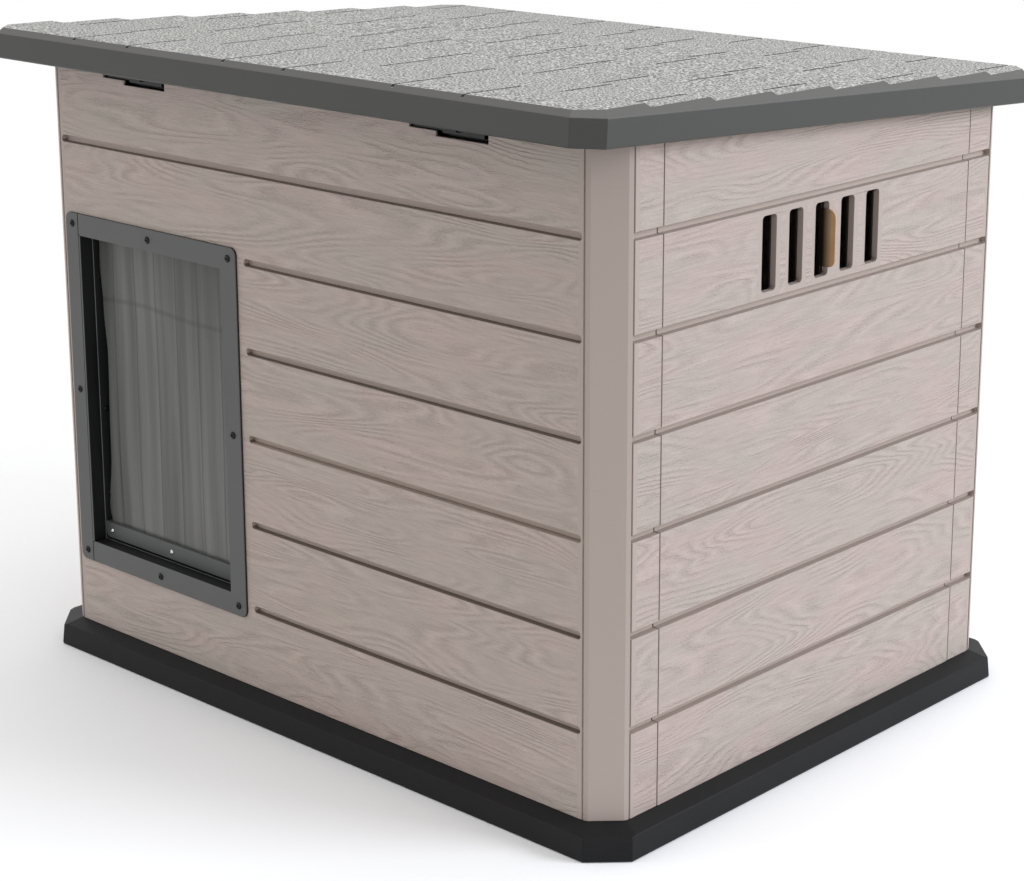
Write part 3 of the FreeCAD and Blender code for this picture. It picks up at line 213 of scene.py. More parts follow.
    # a smooth margin round every vent slot
    rowHalf = wall["ventCount"] / 2 * wall["ventPitch"]
    fromVents = addNode(tree, "Math", {"operation": "SUBTRACT", 1: wall["ventPlace"] * mm}, {0: y})
    slot = addNode(tree, "Math", {"operation": "ADD", 1: wall["ventPitch"] / 2 * mm}, {0: fromVents})
    slot = addNode(tree, "Math", {"operation": "PINGPONG", 1: wall["ventPitch"] / 2 * mm}, {0: slot})
    slot = addNode(tree, "MapRange", {
        1: (wall["ventMargin"] - wall["ventFade"]) * mm, 2: wall["ventMargin"] * mm,
    }, {0: slot})
    slotRow = addNode(tree, "Math", {"operation": "ABSOLUTE"}, {0: fromVents})
    slotRow = addNode(tree, "MapRange", {
        1: rowHalf * mm, 2: (rowHalf + wall["ventFade"]) * mm, 3: 1.0, 4: 0.0,
    }, {0: slotRow})
    slotRise = addNode(tree, "Math", {"operation": "SUBTRACT", 1: wall["ventMiddle"] * mm}, {0: z})
    slotRise = addNode(tree, "Math", {"operation": "ABSOLUTE"}, {0: slotRise})
    slotRise = addNode(tree, "MapRange", {
        1: wall["ventReach"] * mm, 2: (wall["ventReach"] + wall["ventFade"]) * mm, 3: 1.0, 4: 0.0,
    }, {0: slotRise})
    margin = addNode(tree, "Math", {"operation": "MULTIPLY"}, {0: slot, 1: slotRow})
    margin = addNode(tree, "Math", {"operation": "MULTIPLY"}, {0: margin, 1: slotRise})
    offMargin = addNode(tree, "Math", {"operation": "SUBTRACT", 0: 1.0}, {1: margin})
    sideGrain = addNode(tree, "Math", {"operation": "MULTIPLY"}, {0: sideGrain, 1: offMargin})
    grained = addNode(tree, "Math", {"operation": "ADD", "use_clamp": True}, {0: faceGrain, 1: sideGrain})
    # colour: warm and cool drifts in the skin, fibres and rings a little darker, the crests between paler
    driftPlace = addNode(tree, "VectorMath", {"operation": "MULTIPLY", 1: wall["drift"]}, {0: grainPlace})
    drift = addNode(tree, "TexNoise", {"Scale": 1.0, "Detail": 3.0, "Roughness": 0.55}, {"Vector": driftPlace})
    drift = addNode(tree, "MapRange", {"interpolation_type": "SMOOTHSTEP", 1: lowest, 2: highest}, {0: drift})
    skin = addNode(tree, "Mix", {"data_type": "RGBA", 6: srgb(wall["cool"]), 7: srgb(wall["warm"])}, {0: drift})
    fibreDark = addNode(tree, "MapRange", {
        1: wall["fibreDeep"], 2: wall["fibreClear"], 3: wall["fibreShare"], 4: 0.0,
    }, {0: fibre})
    skin = addNode(tree, "Mix", {
        "data_type": "RGBA", 7: srgb(wall["fibre"]),
    }, {0: fibreDark, 6: skin.outputs[2]})
    ringDark = addNode(tree, "Math", {"operation": "MULTIPLY", 1: wall["ringShare"]}, {0: ring})
    skin = addNode(tree, "Mix", {"data_type": "RGBA", 7: srgb(wall["ring"])}, {0: ringDark, 6: skin.outputs[2]})
    # painted highlight and grain: paler crests between the rings, for the light the embossing catches
    crestPale = addNode(tree, "Math", {"operation": "MULTIPLY", 1: wall["crestShare"]}, {0: paintedCrestHighlight})
    skin = addNode(tree, "Mix", {
        "data_type": "RGBA", 7: srgb(wall["paintedCrestHighlight"]),
    }, {0: crestPale, 6: skin.outputs[2]})
    skin = addNode(tree, "Mix", {"data_type": "RGBA", 6: srgb(wall["plain"])}, {0: grained, 7: skin.outputs[2]})
    # grooves: a paler back, a dark line on the front's lower ledge, and a thin one under the sides' upper edge
    inside = addNode(tree, "Math", {
        "operation": "LESS_THAN", 1: (wall["grooveHeight"] + wall["grooveSlack"]) / wall["plankPitch"],
    }, {0: rise})
    nearFace = addNode(tree, "Math", {
        "operation": "GREATER_THAN", 1: (wall["outY"] - wall["grooveDepth"]) * mm,
    }, {0: outY})
    nearSide = addNode(tree, "Math", {
        "operation": "GREATER_THAN", 1: (wall["outX"] - wall["grooveDepth"]) * mm,
    }, {0: outX})
    # painted light: the back faces inside the grooves made paler against their shade
    offFace = addNode(tree, "Math", {"operation": "SUBTRACT"}, {0: isFace, 1: onFace})
    offSide = addNode(tree, "Math", {"operation": "SUBTRACT"}, {0: isSide, 1: onSide})
    recess = addNode(tree, "Math", {"operation": "ADD", "use_clamp": True}, {0: offFace, 1: offSide})
    recess = addNode(tree, "Math", {"operation": "MULTIPLY"}, {0: recess, 1: inside})
    skin = addNode(tree, "Mix", {"data_type": "RGBA", 7: srgb(wall["recess"])}, {0: recess, 6: skin.outputs[2]})
    # painted shade on the upward ledge inside the front grooves
    paintedLedgeShade = addNode(tree, "Math", {"operation": "MULTIPLY"}, {0: isLedge, 1: inside})
    paintedLedgeShade = addNode(tree, "Math", {"operation": "MULTIPLY"}, {0: paintedLedgeShade, 1: nearFace})
    paintedLedgeShade = addNode(tree, "Math", {"operation": "MULTIPLY", 1: wall["ledgeShare"]}, {0: paintedLedgeShade})
    skin = addNode(tree, "Mix", {"data_type": "RGBA", 7: srgb(wall["paintedLedgeShade"])}, {0: paintedLedgeShade, 6: skin.outputs[2]})
    # painted shade: a thin dark line under the side grooves' upper edge
    corner = addNode(tree, "MapRange", {
        1: (wall["grooveHeight"] - wall["cornerFrom"]) / wall["plankPitch"],
        2: (wall["grooveHeight"] - wall["cornerFull"]) / wall["plankPitch"],
    }, {0: rise})
    corner = addNode(tree, "Math", {"operation": "MULTIPLY"}, {0: corner, 1: inside})
    corner = addNode(tree, "Math", {"operation": "MULTIPLY"}, {0: corner, 1: nearSide})
    corner = addNode(tree, "Math", {"operation": "MULTIPLY"}, {0: corner, 1: isSide})
    offSkin = addNode(tree, "Math", {"operation": "SUBTRACT", 0: 1.0}, {1: onSide})
    corner = addNode(tree, "Math", {"operation": "MULTIPLY"}, {0: corner, 1: offSkin})
    skin = addNode(tree, "Mix", {"data_type": "RGBA", 7: srgb(wall["corner"])}, {0: corner, 6: skin.outputs[2]})
    # painted shade in the narrow reveals beside the posts
    shallowFace = addNode(tree, "Math", {
        "operation": "COMPARE", 1: (wall["outY"] - wall["revealDepth"]) * mm, 2: wall["revealReach"] * mm,
    }, {0: outY})
    shallowFace = addNode(tree, "Math", {"operation": "MULTIPLY"}, {0: shallowFace, 1: isFace})
    shallowSide = addNode(tree, "Math", {
        "operation": "COMPARE", 1: (wall["outX"] - wall["revealDepth"]) * mm, 2: wall["revealReach"] * mm,
    }, {0: outX})
    shallowSide = addNode(tree, "Math", {"operation": "MULTIPLY"}, {0: shallowSide, 1: isSide})
    paintedRevealShade = addNode(tree, "Math", {"operation": "MAXIMUM"}, {0: shallowFace, 1: shallowSide})
    skin = addNode(tree, "Mix", {"data_type": "RGBA", 7: srgb(wall["corner"])}, {0: paintedRevealShade, 6: skin.outputs[2]})
    tree.links.new(skin.outputs[2], shader.inputs["Base Color"])
    # relief: rings are cut in, fibres ripple, and all of it carries the tool's fine texture
    relief = addNode(tree, "Math", {"operation": "MULTIPLY", 1: -1.0}, {0: ring})
    relief = addNode(tree, "Math", {"operation": "MULTIPLY_ADD", 1: wall["fibreRelief"]}, {0: fibre, 2: relief})
    relief = addNode(tree, "Math", {"operation": "SUBTRACT", 1: wall["reliefMiddle"]}, {0: relief})
    relief = addNode(tree, "Math", {"operation": "MULTIPLY"}, {0: relief, 1: grained})
    tool = addNode(tree, "TexNoise", {
        "Scale": wall["grit"], "Detail": 2.0,
    }, {"Vector": place.outputs["Object"]})
    relief = addNode(tree, "Math", {"operation": "MULTIPLY_ADD", 1: wall["gritRelief"]}, {0: tool, 2: relief})
    bump = addNode(tree, "Bump", {
        "Strength": wall["reliefShare"], "Distance": wall["relief"] * mm,
    }, {"Height": relief})
    tree.links.new(bump.outputs[0], shader.inputs["Normal"])
    rough = addNode(tree, "MapRange", {
        1: 0.3, 2: 0.7, 3: wall["roughness"][0], 4: wall["roughness"][1],
    }, {0: fibre})
    tree.links.new(rough.outputs[0], shader.inputs["Roughness"])
    return material


grainedHdpe = wallMaterial()
for name in ("front_panel", "rear_panel"):
    finishNode(name, grainedHdpe, edge=0.7)
for name in ("side_panel_left", "side_panel_right"):
    finishNode(name, grainedHdpe, edge=0.35, segments=1)  # a wider round would smear the bars between the slots
print("walls done")

# Injection-moulded plastics: an even body colour with the fine sparkle and drift of a textured tool.
moulded = {
    "plastics": {
        # colour, darker drift, roughness, grit size mm, grit height, specular
        "carbon black HDPE": ("#1a1a1b", "#141415", 0.5, 1.2, 0.5, 0.18),
        "slate ABS": ("#565756", "#505150", 0.42, 0.8, 0.12, 0.4),
        "black acetal": ("#1d1e20", "#161718", 0.35, 0.9, 0.12, 0.35),
        "grey acetal": ("#7d7f80", "#737576", 0.4, 0.9, 0.12, 0.4),
        "charcoal PVC bar": ("#515252", "#4a4b4b", 0.4, 1.0, 0.10, 0.4),
        "brown ABS": ("#c3a17c", "#ab865f", 0.5, 1.0, 0.12, 0.4),
    },
    "seconds": {
        # colour, how near the middle of the house it takes over (mm), along which axis, over how many mm
        "slate ABS": ("#161717", 345.9, "Y", 0.1),     # black down the jamb
        "grey acetal": ("#242526", 327.6, "Y", 0.1),   # painted shade past its front rim, which alone stays light
        "brown ABS": ("#150f0b", 455.0, "X", 11.0),    # painted shade inside the slot, tan where fingers reach
    },
    "joints": {
        # colour, x and half width in mm
        "slate ABS": ("#0c0c0c", -384.7, 0.8),         # the line where the stile meets the surround
    },
    "drift": 14.0, "tones": (0.55, 0.95),              # waves a metre, and the noise's usual range
    "specks": 0.5, "gritDepth": 0.2,                   # the grit's share of the colour, and its depth in mm
    "shinier": 0.05, "duller": 0.07,                   # how far the roughness swings
}


def mouldedMaterial(name):
    colour, drift, roughness, grit, height, specular = moulded["plastics"][name]
    material, tree, shader = newMaterial(name, IOR=1.5, Specular_IOR_Level=specular)
    place = addNode(tree, "TexCoord")
    xyz = addNode(tree, "SeparateXYZ", None, {0: place.outputs["Object"]})
    cloud = addNode(tree, "TexNoise", {
        "Scale": moulded["drift"], "Detail": 3.0,
    }, {"Vector": place.outputs["Object"]})
    speck = addNode(tree, "TexNoise", {
        "Scale": 1 / (grit * mm), "Detail": 2.0,
    }, {"Vector": place.outputs["Object"]})
    blend = addNode(tree, "Math", {"operation": "MULTIPLY_ADD", 1: moulded["specks"]}, {0: speck, 2: cloud})
    blend = addNode(tree, "MapRange", {1: moulded["tones"][0], 2: moulded["tones"][1]}, {0: blend})
    skin = addNode(tree, "Mix", {"data_type": "RGBA", 6: srgb(drift), 7: srgb(colour)}, {0: blend})
    # a second colour past a limit: black down the jamb, painted shade on the inner frame and vent tabs
    if name in moulded["seconds"]:
        second, limit, axis, width = moulded["seconds"][name]
        past = addNode(tree, "Math", {"operation": "ABSOLUTE"}, {0: xyz.outputs[axis]})
        past = addNode(tree, "MapRange", {1: (limit - width) * mm, 2: limit * mm, 3: 1.0, 4: 0.0}, {0: past})
        skin = addNode(tree, "Mix", {"data_type": "RGBA", 7: srgb(second)}, {0: past, 6: skin.outputs[2]})
    if name in moulded["joints"]:
        dark, middle, half = moulded["joints"][name]
        line = addNode(tree, "Math", {
            "operation": "COMPARE", 1: middle * mm, 2: half * mm,
        }, {0: xyz.outputs["X"]})
        skin = addNode(tree, "Mix", {"data_type": "RGBA", 7: srgb(dark)}, {0: line, 6: skin.outputs[2]})
    tree.links.new(skin.outputs[2], shader.inputs["Base Color"])
    rough = addNode(tree, "MapRange", {
        1: 0.3, 2: 0.7, 3: roughness - moulded["shinier"], 4: roughness + moulded["duller"],
    }, {0: cloud})
    tree.links.new(rough.outputs[0], shader.inputs["Roughness"])
    bump = addNode(tree, "Bump", {"Strength": height, "Distance": moulded["gritDepth"] * mm}, {"Height": speck})
    tree.links.new(bump.outputs[0], shader.inputs["Normal"])
    return material


blackHdpe = mouldedMaterial("carbon black HDPE")
slateAbs = mouldedMaterial("slate ABS")
blackAcetal = mouldedMaterial("black acetal")
greyAcetal = mouldedMaterial("grey acetal")
barPvc = mouldedMaterial("charcoal PVC bar")
brownAbs = mouldedMaterial("brown ABS")
finishNode("base_floor", blackHdpe, edge=0.9)
for name in ("door_frame_stile", "door_frame_surround"):
    finishNode(name, slateAbs, edge=0.4)
finishNode("door_inner_frame", greyAcetal, edge=0.3)
for name in ("latch_housing_left", "latch_housing_right", "vent_track_left", "vent_track_right"):
    finishNode(name, blackAcetal, edge=0.3)
for name in ("latch_bar_left", "latch_bar_right", "latch_striker_left", "latch_striker_right"):
    finishNode(name, blackAcetal, edge=0.4)
for name in ("flap_bar_front", "flap_bar_rear", "flap_clamp_bars"):
    finishNode(name, barPvc, edge=0.4)
for name in ("vent_slider_left", "vent_slider_right"):
    finishNode(name, brownAbs, edge=0.5)


# a skin that drifts between two tones, with a noise of so many waves a metre
def cloudyMaterial(name, tones, scale, detail, **shaderValues):
    material, tree, shader = newMaterial(name, **shaderValues)
    place = addNode(tree, "TexCoord")
    noise = addNode(tree, "TexNoise", {"Scale": scale, "Detail": detail}, {"Vector": place.outputs["Object"]})
    skin = addNode(tree, "Mix", {"data_type": "RGBA", 6: srgb(tones[0]), 7: srgb(tones[1])}, {0: noise})
    tree.links.new(skin.outputs[2], shader.inputs["Base Color"])
    return material


# Black oxide steel: dark, with a hard small highlight on each screw's crown.
blackOxide = cloudyMaterial("black oxide steel", ("#0d0d0e", "#171718"), scale=900.0, detail=2.0,
                            Roughness=0.13, IOR=1.5, Specular_IOR_Level=0.25)
# Zinc-plated steel: pale grey metal with a cloudy passivated skin.
zincSteel = cloudyMaterial("zinc-plated steel", ("#a9acae", "#c8cacb"), scale=260.0, detail=4.0,
                           Metallic=1.0, Roughness=0.35)
for name in nodes:
    if name.startswith("hinge_"):
        finishNode(name, zincSteel, edge=0)
for name in ("panel_screws", "base_screws", "latch_housing_screws", "vent_track_screws", "striker_screws",
             "flap_clamp_screws"):
    finishNode(name, blackOxide, edge=0)

# Rotomoulded HDPE: the faces that look up are pebbled, rough and pale, the rim stays smooth and dark.
roof = {
    # pebble colours follow the bump's height: painted shade in the pits, painted glints on the crests
    "granule": 2.6, "paintedPitShade": "#40403c", "grey": "#888883", "paintedCrestHighlight": "#d0cfca",
    "pitAt": 0.4, "greyAt": 0.5, "crestAt": 0.61,  # where in the noise each colour of the pebbles lies
    # painted highlight on the rim's shoulder, painted shade on the butts between the courses
    "rim": "#353533", "rimDrift": "#323230", "cloud": 9.0, "paintedShoulderHighlight": "#4e4d4a", "butt": "#232322",
    "buttFrom": 30.0, "edge": 1.6,               # mm in from the rim where butts are, mm of round on the edges
    "topFrom": (0.965, 0.985), "shoulderFrom": (0.2, 0.5),  # how far up a face looks: a course's, a shoulder's
    "rimRoughness": 0.42, "courseRoughness": 0.62, "relief": 1.0, "reliefShare": 0.7,
}


def roofMaterial():
    material, tree, shader = newMaterial("pebbled HDPE", IOR=1.5)
    place = addNode(tree, "TexCoord")
    facing = addNode(tree, "SeparateXYZ", None, {0: place.outputs["Normal"]})
    top = addNode(tree, "MapRange", {1: roof["topFrom"][0], 2: roof["topFrom"][1]}, {0: facing.outputs["Z"]})
    grain = addNode(tree, "TexNoise", {
        "Scale": 1 / (roof["granule"] * mm), "Detail": 2.0, "Roughness": 0.65,
    }, {"Vector": place.outputs["Object"]})
    cloud = addNode(tree, "TexNoise", {
        "Scale": roof["cloud"], "Detail": 3.0,
    }, {"Vector": place.outputs["Object"]})
    # painted shade and glints: dark pits and pale crests, from the noise that raises the bump
    pebbled = addNode(tree, "ValToRGB", None, {0: grain})
    ramp = pebbled.color_ramp.elements
    ramp[0].position, ramp[0].color = roof["pitAt"], srgb(roof["paintedPitShade"])
    ramp[1].position, ramp[1].color = roof["crestAt"], srgb(roof["paintedCrestHighlight"])
    middle = ramp.new(roof["greyAt"])
    middle.color = srgb(roof["grey"])
    smooth = addNode(tree, "Mix", {
        "data_type": "RGBA", 6: srgb(roof["rimDrift"]), 7: srgb(roof["rim"]),
    }, {0: cloud})
    # painted highlight: a paler line along the rim's shoulder
    paintedShoulderHighlight = addNode(tree, "MapRange", {
        1: roof["shoulderFrom"][0], 2: roof["shoulderFrom"][1],
    }, {0: facing.outputs["Z"]})
    smooth = addNode(tree, "Mix", {
        "data_type": "RGBA", 7: srgb(roof["paintedShoulderHighlight"]),
    }, {0: paintedShoulderHighlight, 6: smooth.outputs[2]})
    # painted shade: the butts between the courses are dark, away from the rim
    xyz = addNode(tree, "SeparateXYZ", None, {0: place.outputs["Object"]})
    low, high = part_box("roof_shell")
    middleX, reachX = (low.x + high.x) / 2, (high.x - low.x) / 2 - roof["buttFrom"] * mm
    middleY, reachY = (low.y + high.y) / 2, (high.y - low.y) / 2 - roof["buttFrom"] * mm
    inX = addNode(tree, "Math", {"operation": "COMPARE", 1: middleX, 2: reachX}, {0: xyz.outputs["X"]})
    inY = addNode(tree, "Math", {"operation": "COMPARE", 1: middleY, 2: reachY}, {0: xyz.outputs["Y"]})
    butt = addNode(tree, "Math", {"operation": "MULTIPLY"}, {0: inX, 1: inY})
    smooth = addNode(tree, "Mix", {"data_type": "RGBA", 7: srgb(roof["butt"])}, {0: butt, 6: smooth.outputs[2]})
    skin = addNode(tree, "Mix", {
        "data_type": "RGBA",
    }, {0: top, 6: smooth.outputs[2], 7: pebbled.outputs["Color"]})
    tree.links.new(skin.outputs[2], shader.inputs["Base Color"])
    rough = addNode(tree, "MapRange", {3: roof["rimRoughness"], 4: roof["courseRoughness"]}, {0: top})
    tree.links.new(rough.outputs[0], shader.inputs["Roughness"])
    relief = addNode(tree, "Math", {"operation": "MULTIPLY"}, {0: grain, 1: top})
    rounded = addNode(tree, "Bevel", {"samples": 6, "Radius": roof["edge"] * mm})
    bump = addNode(tree, "Bump", {
        "Strength": roof["reliefShare"], "Distance": roof["relief"] * mm,
    }, {"Height": relief, "Normal": rounded})
    tree.links.new(bump.outputs[0], shader.inputs["Normal"])
    return material


finishNode("roof_shell", roofMaterial(), edge=0)  # its courses run out to nothing, so the shader rounds edges
print("roof done")


def meshPiece(name, shape, material, smoothAngle=35):
    mesh = bpy.data.meshes.new(name)
    bmesh.ops.recalc_face_normals(shape, faces=shape.faces)
    shape.to_mesh(mesh)
    shape.free()
    mesh.materials.append(material)
    mesh.shade_smooth()
    mesh.set_sharp_from_angle(angle=math.radians(smoothAngle))
    obj = bpy.data.objects.new(name, mesh)
    bpy.context.scene.collection.objects.link(obj)
    return obj


screws = {
    # (radius, height) from the recess in the crown, over the washer, down to the tip
    "profile": [(0.0, 1.25), (1.15, 1.25), (1.3, 1.95), (1.7, 2.2), (2.6, 1.95), (3.4, 1.35), (3.75, 0.7),
                (3.8, 0.45), (4.35, 0.4), (4.45, 0.2), (4.45, 0.0), (1.9, 0.0), (1.9, -16.0), (0.0, -17.5)],
    "rivet": [(0.0, 0.55), (0.75, 0.6), (0.85, 0.95), (1.3, 1.15), (2.2, 0.95), (2.75, 0.4), (2.8, 0.0),
              (1.4, 0.0), (1.4, -5.0), (0.0, -5.0)],
    "small": 0.72, "smallShank": 0.4,            # the jamb screws' heads and shanks against the trim screws'
    "jambHalf": 128.5, "steps": 24, "weld": 0.01,
}


# one piece of many turned heads, each standing along a direction at its place
def headsPiece(name, profile, places, material):
    shape = bmesh.new()
    for place, direction in places:
        single = bmesh.new()
        points = [single.verts.new((r * mm, 0, h * mm)) for r, h in profile]
        outline = [single.edges.new(pair) for pair in zip(points, points[1:])]
        bmesh.ops.spin(single, geom=[*points, *outline], cent=(0, 0, 0), axis=(0, 0, 1), angle=math.tau,
                       steps=screws["steps"], use_merge=True)
        bmesh.ops.remove_doubles(single, verts=single.verts, dist=screws["weld"] * mm)
        turn = Vector(direction).to_track_quat("Z", "Y").to_matrix().to_4x4()
        bmesh.ops.transform(single, matrix=Matrix.Translation(place) @ turn, verts=single.verts)
        part = bpy.data.meshes.new("part")
        single.to_mesh(part)
        single.free()
        shape.from_mesh(part)
        bpy.data.meshes.remove(part)
    return meshPiece(name, shape, material)


# the two corners of the box round each of a node's separate screws, from its loose triangles
def screwBoxes(node):
    shape = bmesh.new()
    shape.from_mesh(nodes[node].data)
    bmesh.ops.remove_doubles(shape, verts=shape.verts, dist=edges["weld"] * mm)
    left, boxes = set(shape.verts), []
    while left:
        stack, group = [left.pop()], []
        while stack:
            v = stack.pop()
            group.append(v.co.copy())
            for e in v.link_edges:
                other = e.other_vert(v)
                if other in left:
                    left.remove(other)
                    stack.append(other)
        low = Vector(min(c[i] for c in group) for i in range(3))
        high = Vector(max(c[i] for c in group) for i in range(3))
        boxes.append((low, high))
    shape.free()
    return sorted(boxes, key=lambda pair: tuple(pair[0]))


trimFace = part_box("door_frame_surround")[0].y
trimPlaces = [(Vector(((low.x + high.x) / 2, trimFace, (low.z + high.z) / 2)), (0, -1, 0))
              for low, high in screwBoxes("door_frame_screws")]
trimScrews = headsPiece("trimScrews", screws["profile"], trimPlaces, blackOxide)
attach(trimScrews, "house")
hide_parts("door_frame_screws")

doorMiddle = (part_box("door_inner_frame")[0].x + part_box("door_inner_frame")[1].x) / 2
jambPlaces = []
for low, high in screwBoxes("door_jamb_screws"):
    side = -1 if low.x < doorMiddle else 1
    jambFace = doorMiddle + side * screws["jambHalf"] * mm
    jambPlaces.append((Vector((jambFace, (low.y + high.y) / 2, (low.z + high.z) / 2)), (-side, 0, 0)))
smallProfile = [(r * screws["small"], h * screws["small" if h > 0 else "smallShank"])
                for r, h in screws["profile"]]
jambScrews = headsPiece("jambScrews", smallProfile, jambPlaces, blackOxide)
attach(jambScrews, "house")
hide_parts("door_jamb_screws")

# Drawn aluminium rivets: the brightest thing on the door, each a small domed mirror with a dark mandrel hole.
brightAluminium = cloudyMaterial("drawn aluminium", ("#c4c6c8", "#e2e4e5"), scale=700.0, detail=3.0,
                                 Metallic=1.0, Roughness=0.22)
barFront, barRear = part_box("flap_bar_front")[0].y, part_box("flap_bar_rear")[1].y
rivetPlaces = []
for low, high in screwBoxes("flap_rivets"):
    x, z = (low.x + high.x) / 2, (low.z + high.z) / 2
    rivetPlaces += [(Vector((x, barFront, z)), (0, -1, 0)), (Vector((x, barRear, z)), (0, 1, 0))]
flapRivets = headsPiece("flapRivets", screws["rivet"], rivetPlaces, brightAluminium)
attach(flapRivets, "flap")
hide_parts("flap_rivets")
print("screws and rivets done")

flap = {
    "thickness": 1.6, "columns": 180, "rows": 70,
    "ribs": 6, "ribPitch": 38.6, "ribWidth": 6.0, "ribHeight": 0.35,
    # how far the sheet's left edge stands in from the CAD sheet's edge: (height, mm)
    "leftEdge": [(145, 0.0), (163, 2.1), (183, -2.2), (253, 5.1), (375, 8.2), (437, 3.2), (490, -0.5),
                 (524, 0.0)],
    "edgeShare": 0.25,                           # of the width, over which that dies out
    "stillBelow": 170.0, "stillAbove": 500.0, "ease": 60.0,  # the bar and the clamp keep the sheet flat there
    "bow": 1.2, "waves": [(11.0, 95.0, 0.6), (3.0, 60.0, 0.4)],  # radians across, mm of height a radian, share
}


def edgeInset(z):
    points = flap["leftEdge"]
    for (z0, d0), (z1, d1) in zip(points, points[1:]):
        if z0 <= z <= z1:
            t = (z - z0) / (z1 - z0)
            return d0 + (d1 - d0) * t * t * (3 - 2 * t)
    return 0.0


def flapPiece(material):
    low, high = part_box("flap_sheet")
    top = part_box("flap_held_edge")[1].z
    plane = sum(c.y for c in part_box("flap_held_edge")) / 2
    width, height = high.x - low.x, top - low.z
    print(f"flap sheet {width:.4f} x {height:.4f}")
    shape = bmesh.new()
    bmesh.ops.create_grid(shape, x_segments=flap["columns"], y_segments=flap["rows"], size=0.5)
    bmesh.ops.rotate(shape, verts=shape.verts, cent=(0, 0, 0), matrix=Matrix.Rotation(math.pi / 2, 3, "X"))
    bmesh.ops.scale(shape, vec=(width, 1, height), verts=shape.verts)
    bmesh.ops.translate(shape, vec=((low.x + high.x) / 2, plane, (low.z + top) / 2), verts=shape.verts)
    first = (low.x + high.x) / 2 - (flap["ribs"] - 1) * flap["ribPitch"] * mm / 2
    for v in shape.verts:
        z = v.co.z / mm
        across = (v.co.x - low.x) / width
        v.co.x += edgeInset(z) * mm * max(0.0, 1 - across / flap["edgeShare"]) ** 2
        overBar = max(0.0, (z - flap["stillBelow"]) / flap["ease"])
        underClamp = max(0.0, (flap["stillAbove"] - z) / flap["ease"])
        hang = min(1.0, overBar, underClamp)
        rib = (v.co.x - first) / (flap["ribPitch"] * mm)
        offRib = abs(rib - round(rib)) * flap["ribPitch"]
        ribbed = -0.5 < rib < flap["ribs"] - 0.5
        raised = max(0.0, 1 - (offRib / (flap["ribWidth"] / 2)) ** 2) if ribbed else 0.0
        wave = sum(share * math.sin(across * turns + z / climb) for turns, climb, share in flap["waves"])
        v.co.y += (flap["bow"] * wave * hang - flap["ribHeight"] * raised * hang) * mm
    obj = meshPiece("flapVinyl", shape, material, smoothAngle=60)
    thick = obj.modifiers.new("thickness", "SOLIDIFY")
    thick.thickness = flap["thickness"] * mm
    thick.offset = 0.0
    return obj


# Calendered PVC, smoke tinted: a cloudy satin sheet with long pull lines and a darker line down each rib.
vinyl = {
    "deep": "#525350", "pale": "#70706c", "tones": (0.34, 0.68), "pull": (62.0, 1.0, 2.2),  # waves a metre
    "line": "#2e2f2e", "ribAt": -350.0, "ribFrom": 0.3, "ribTo": 1.8, "ribShare": 0.5,
    # the far wall's lap line, seen through the sheet: its height, its sag in mm and radians a metre, its width
    "lapAt": 446.0, "lapSag": 2.5, "lapTurns": 26.0, "lapFrom": 0.5, "lapTo": 5.0, "lapShare": 0.34,
    # painted shade of the darker cabin behind the sheet, to the upper right
    "paintedCabinShade": "#353634", "duskFrom": 120.0, "duskTo": 400.0, "duskShare": 0.5,  # mm along x and z together
    "ripple": 0.8, "rippleShare": 0.2,
}


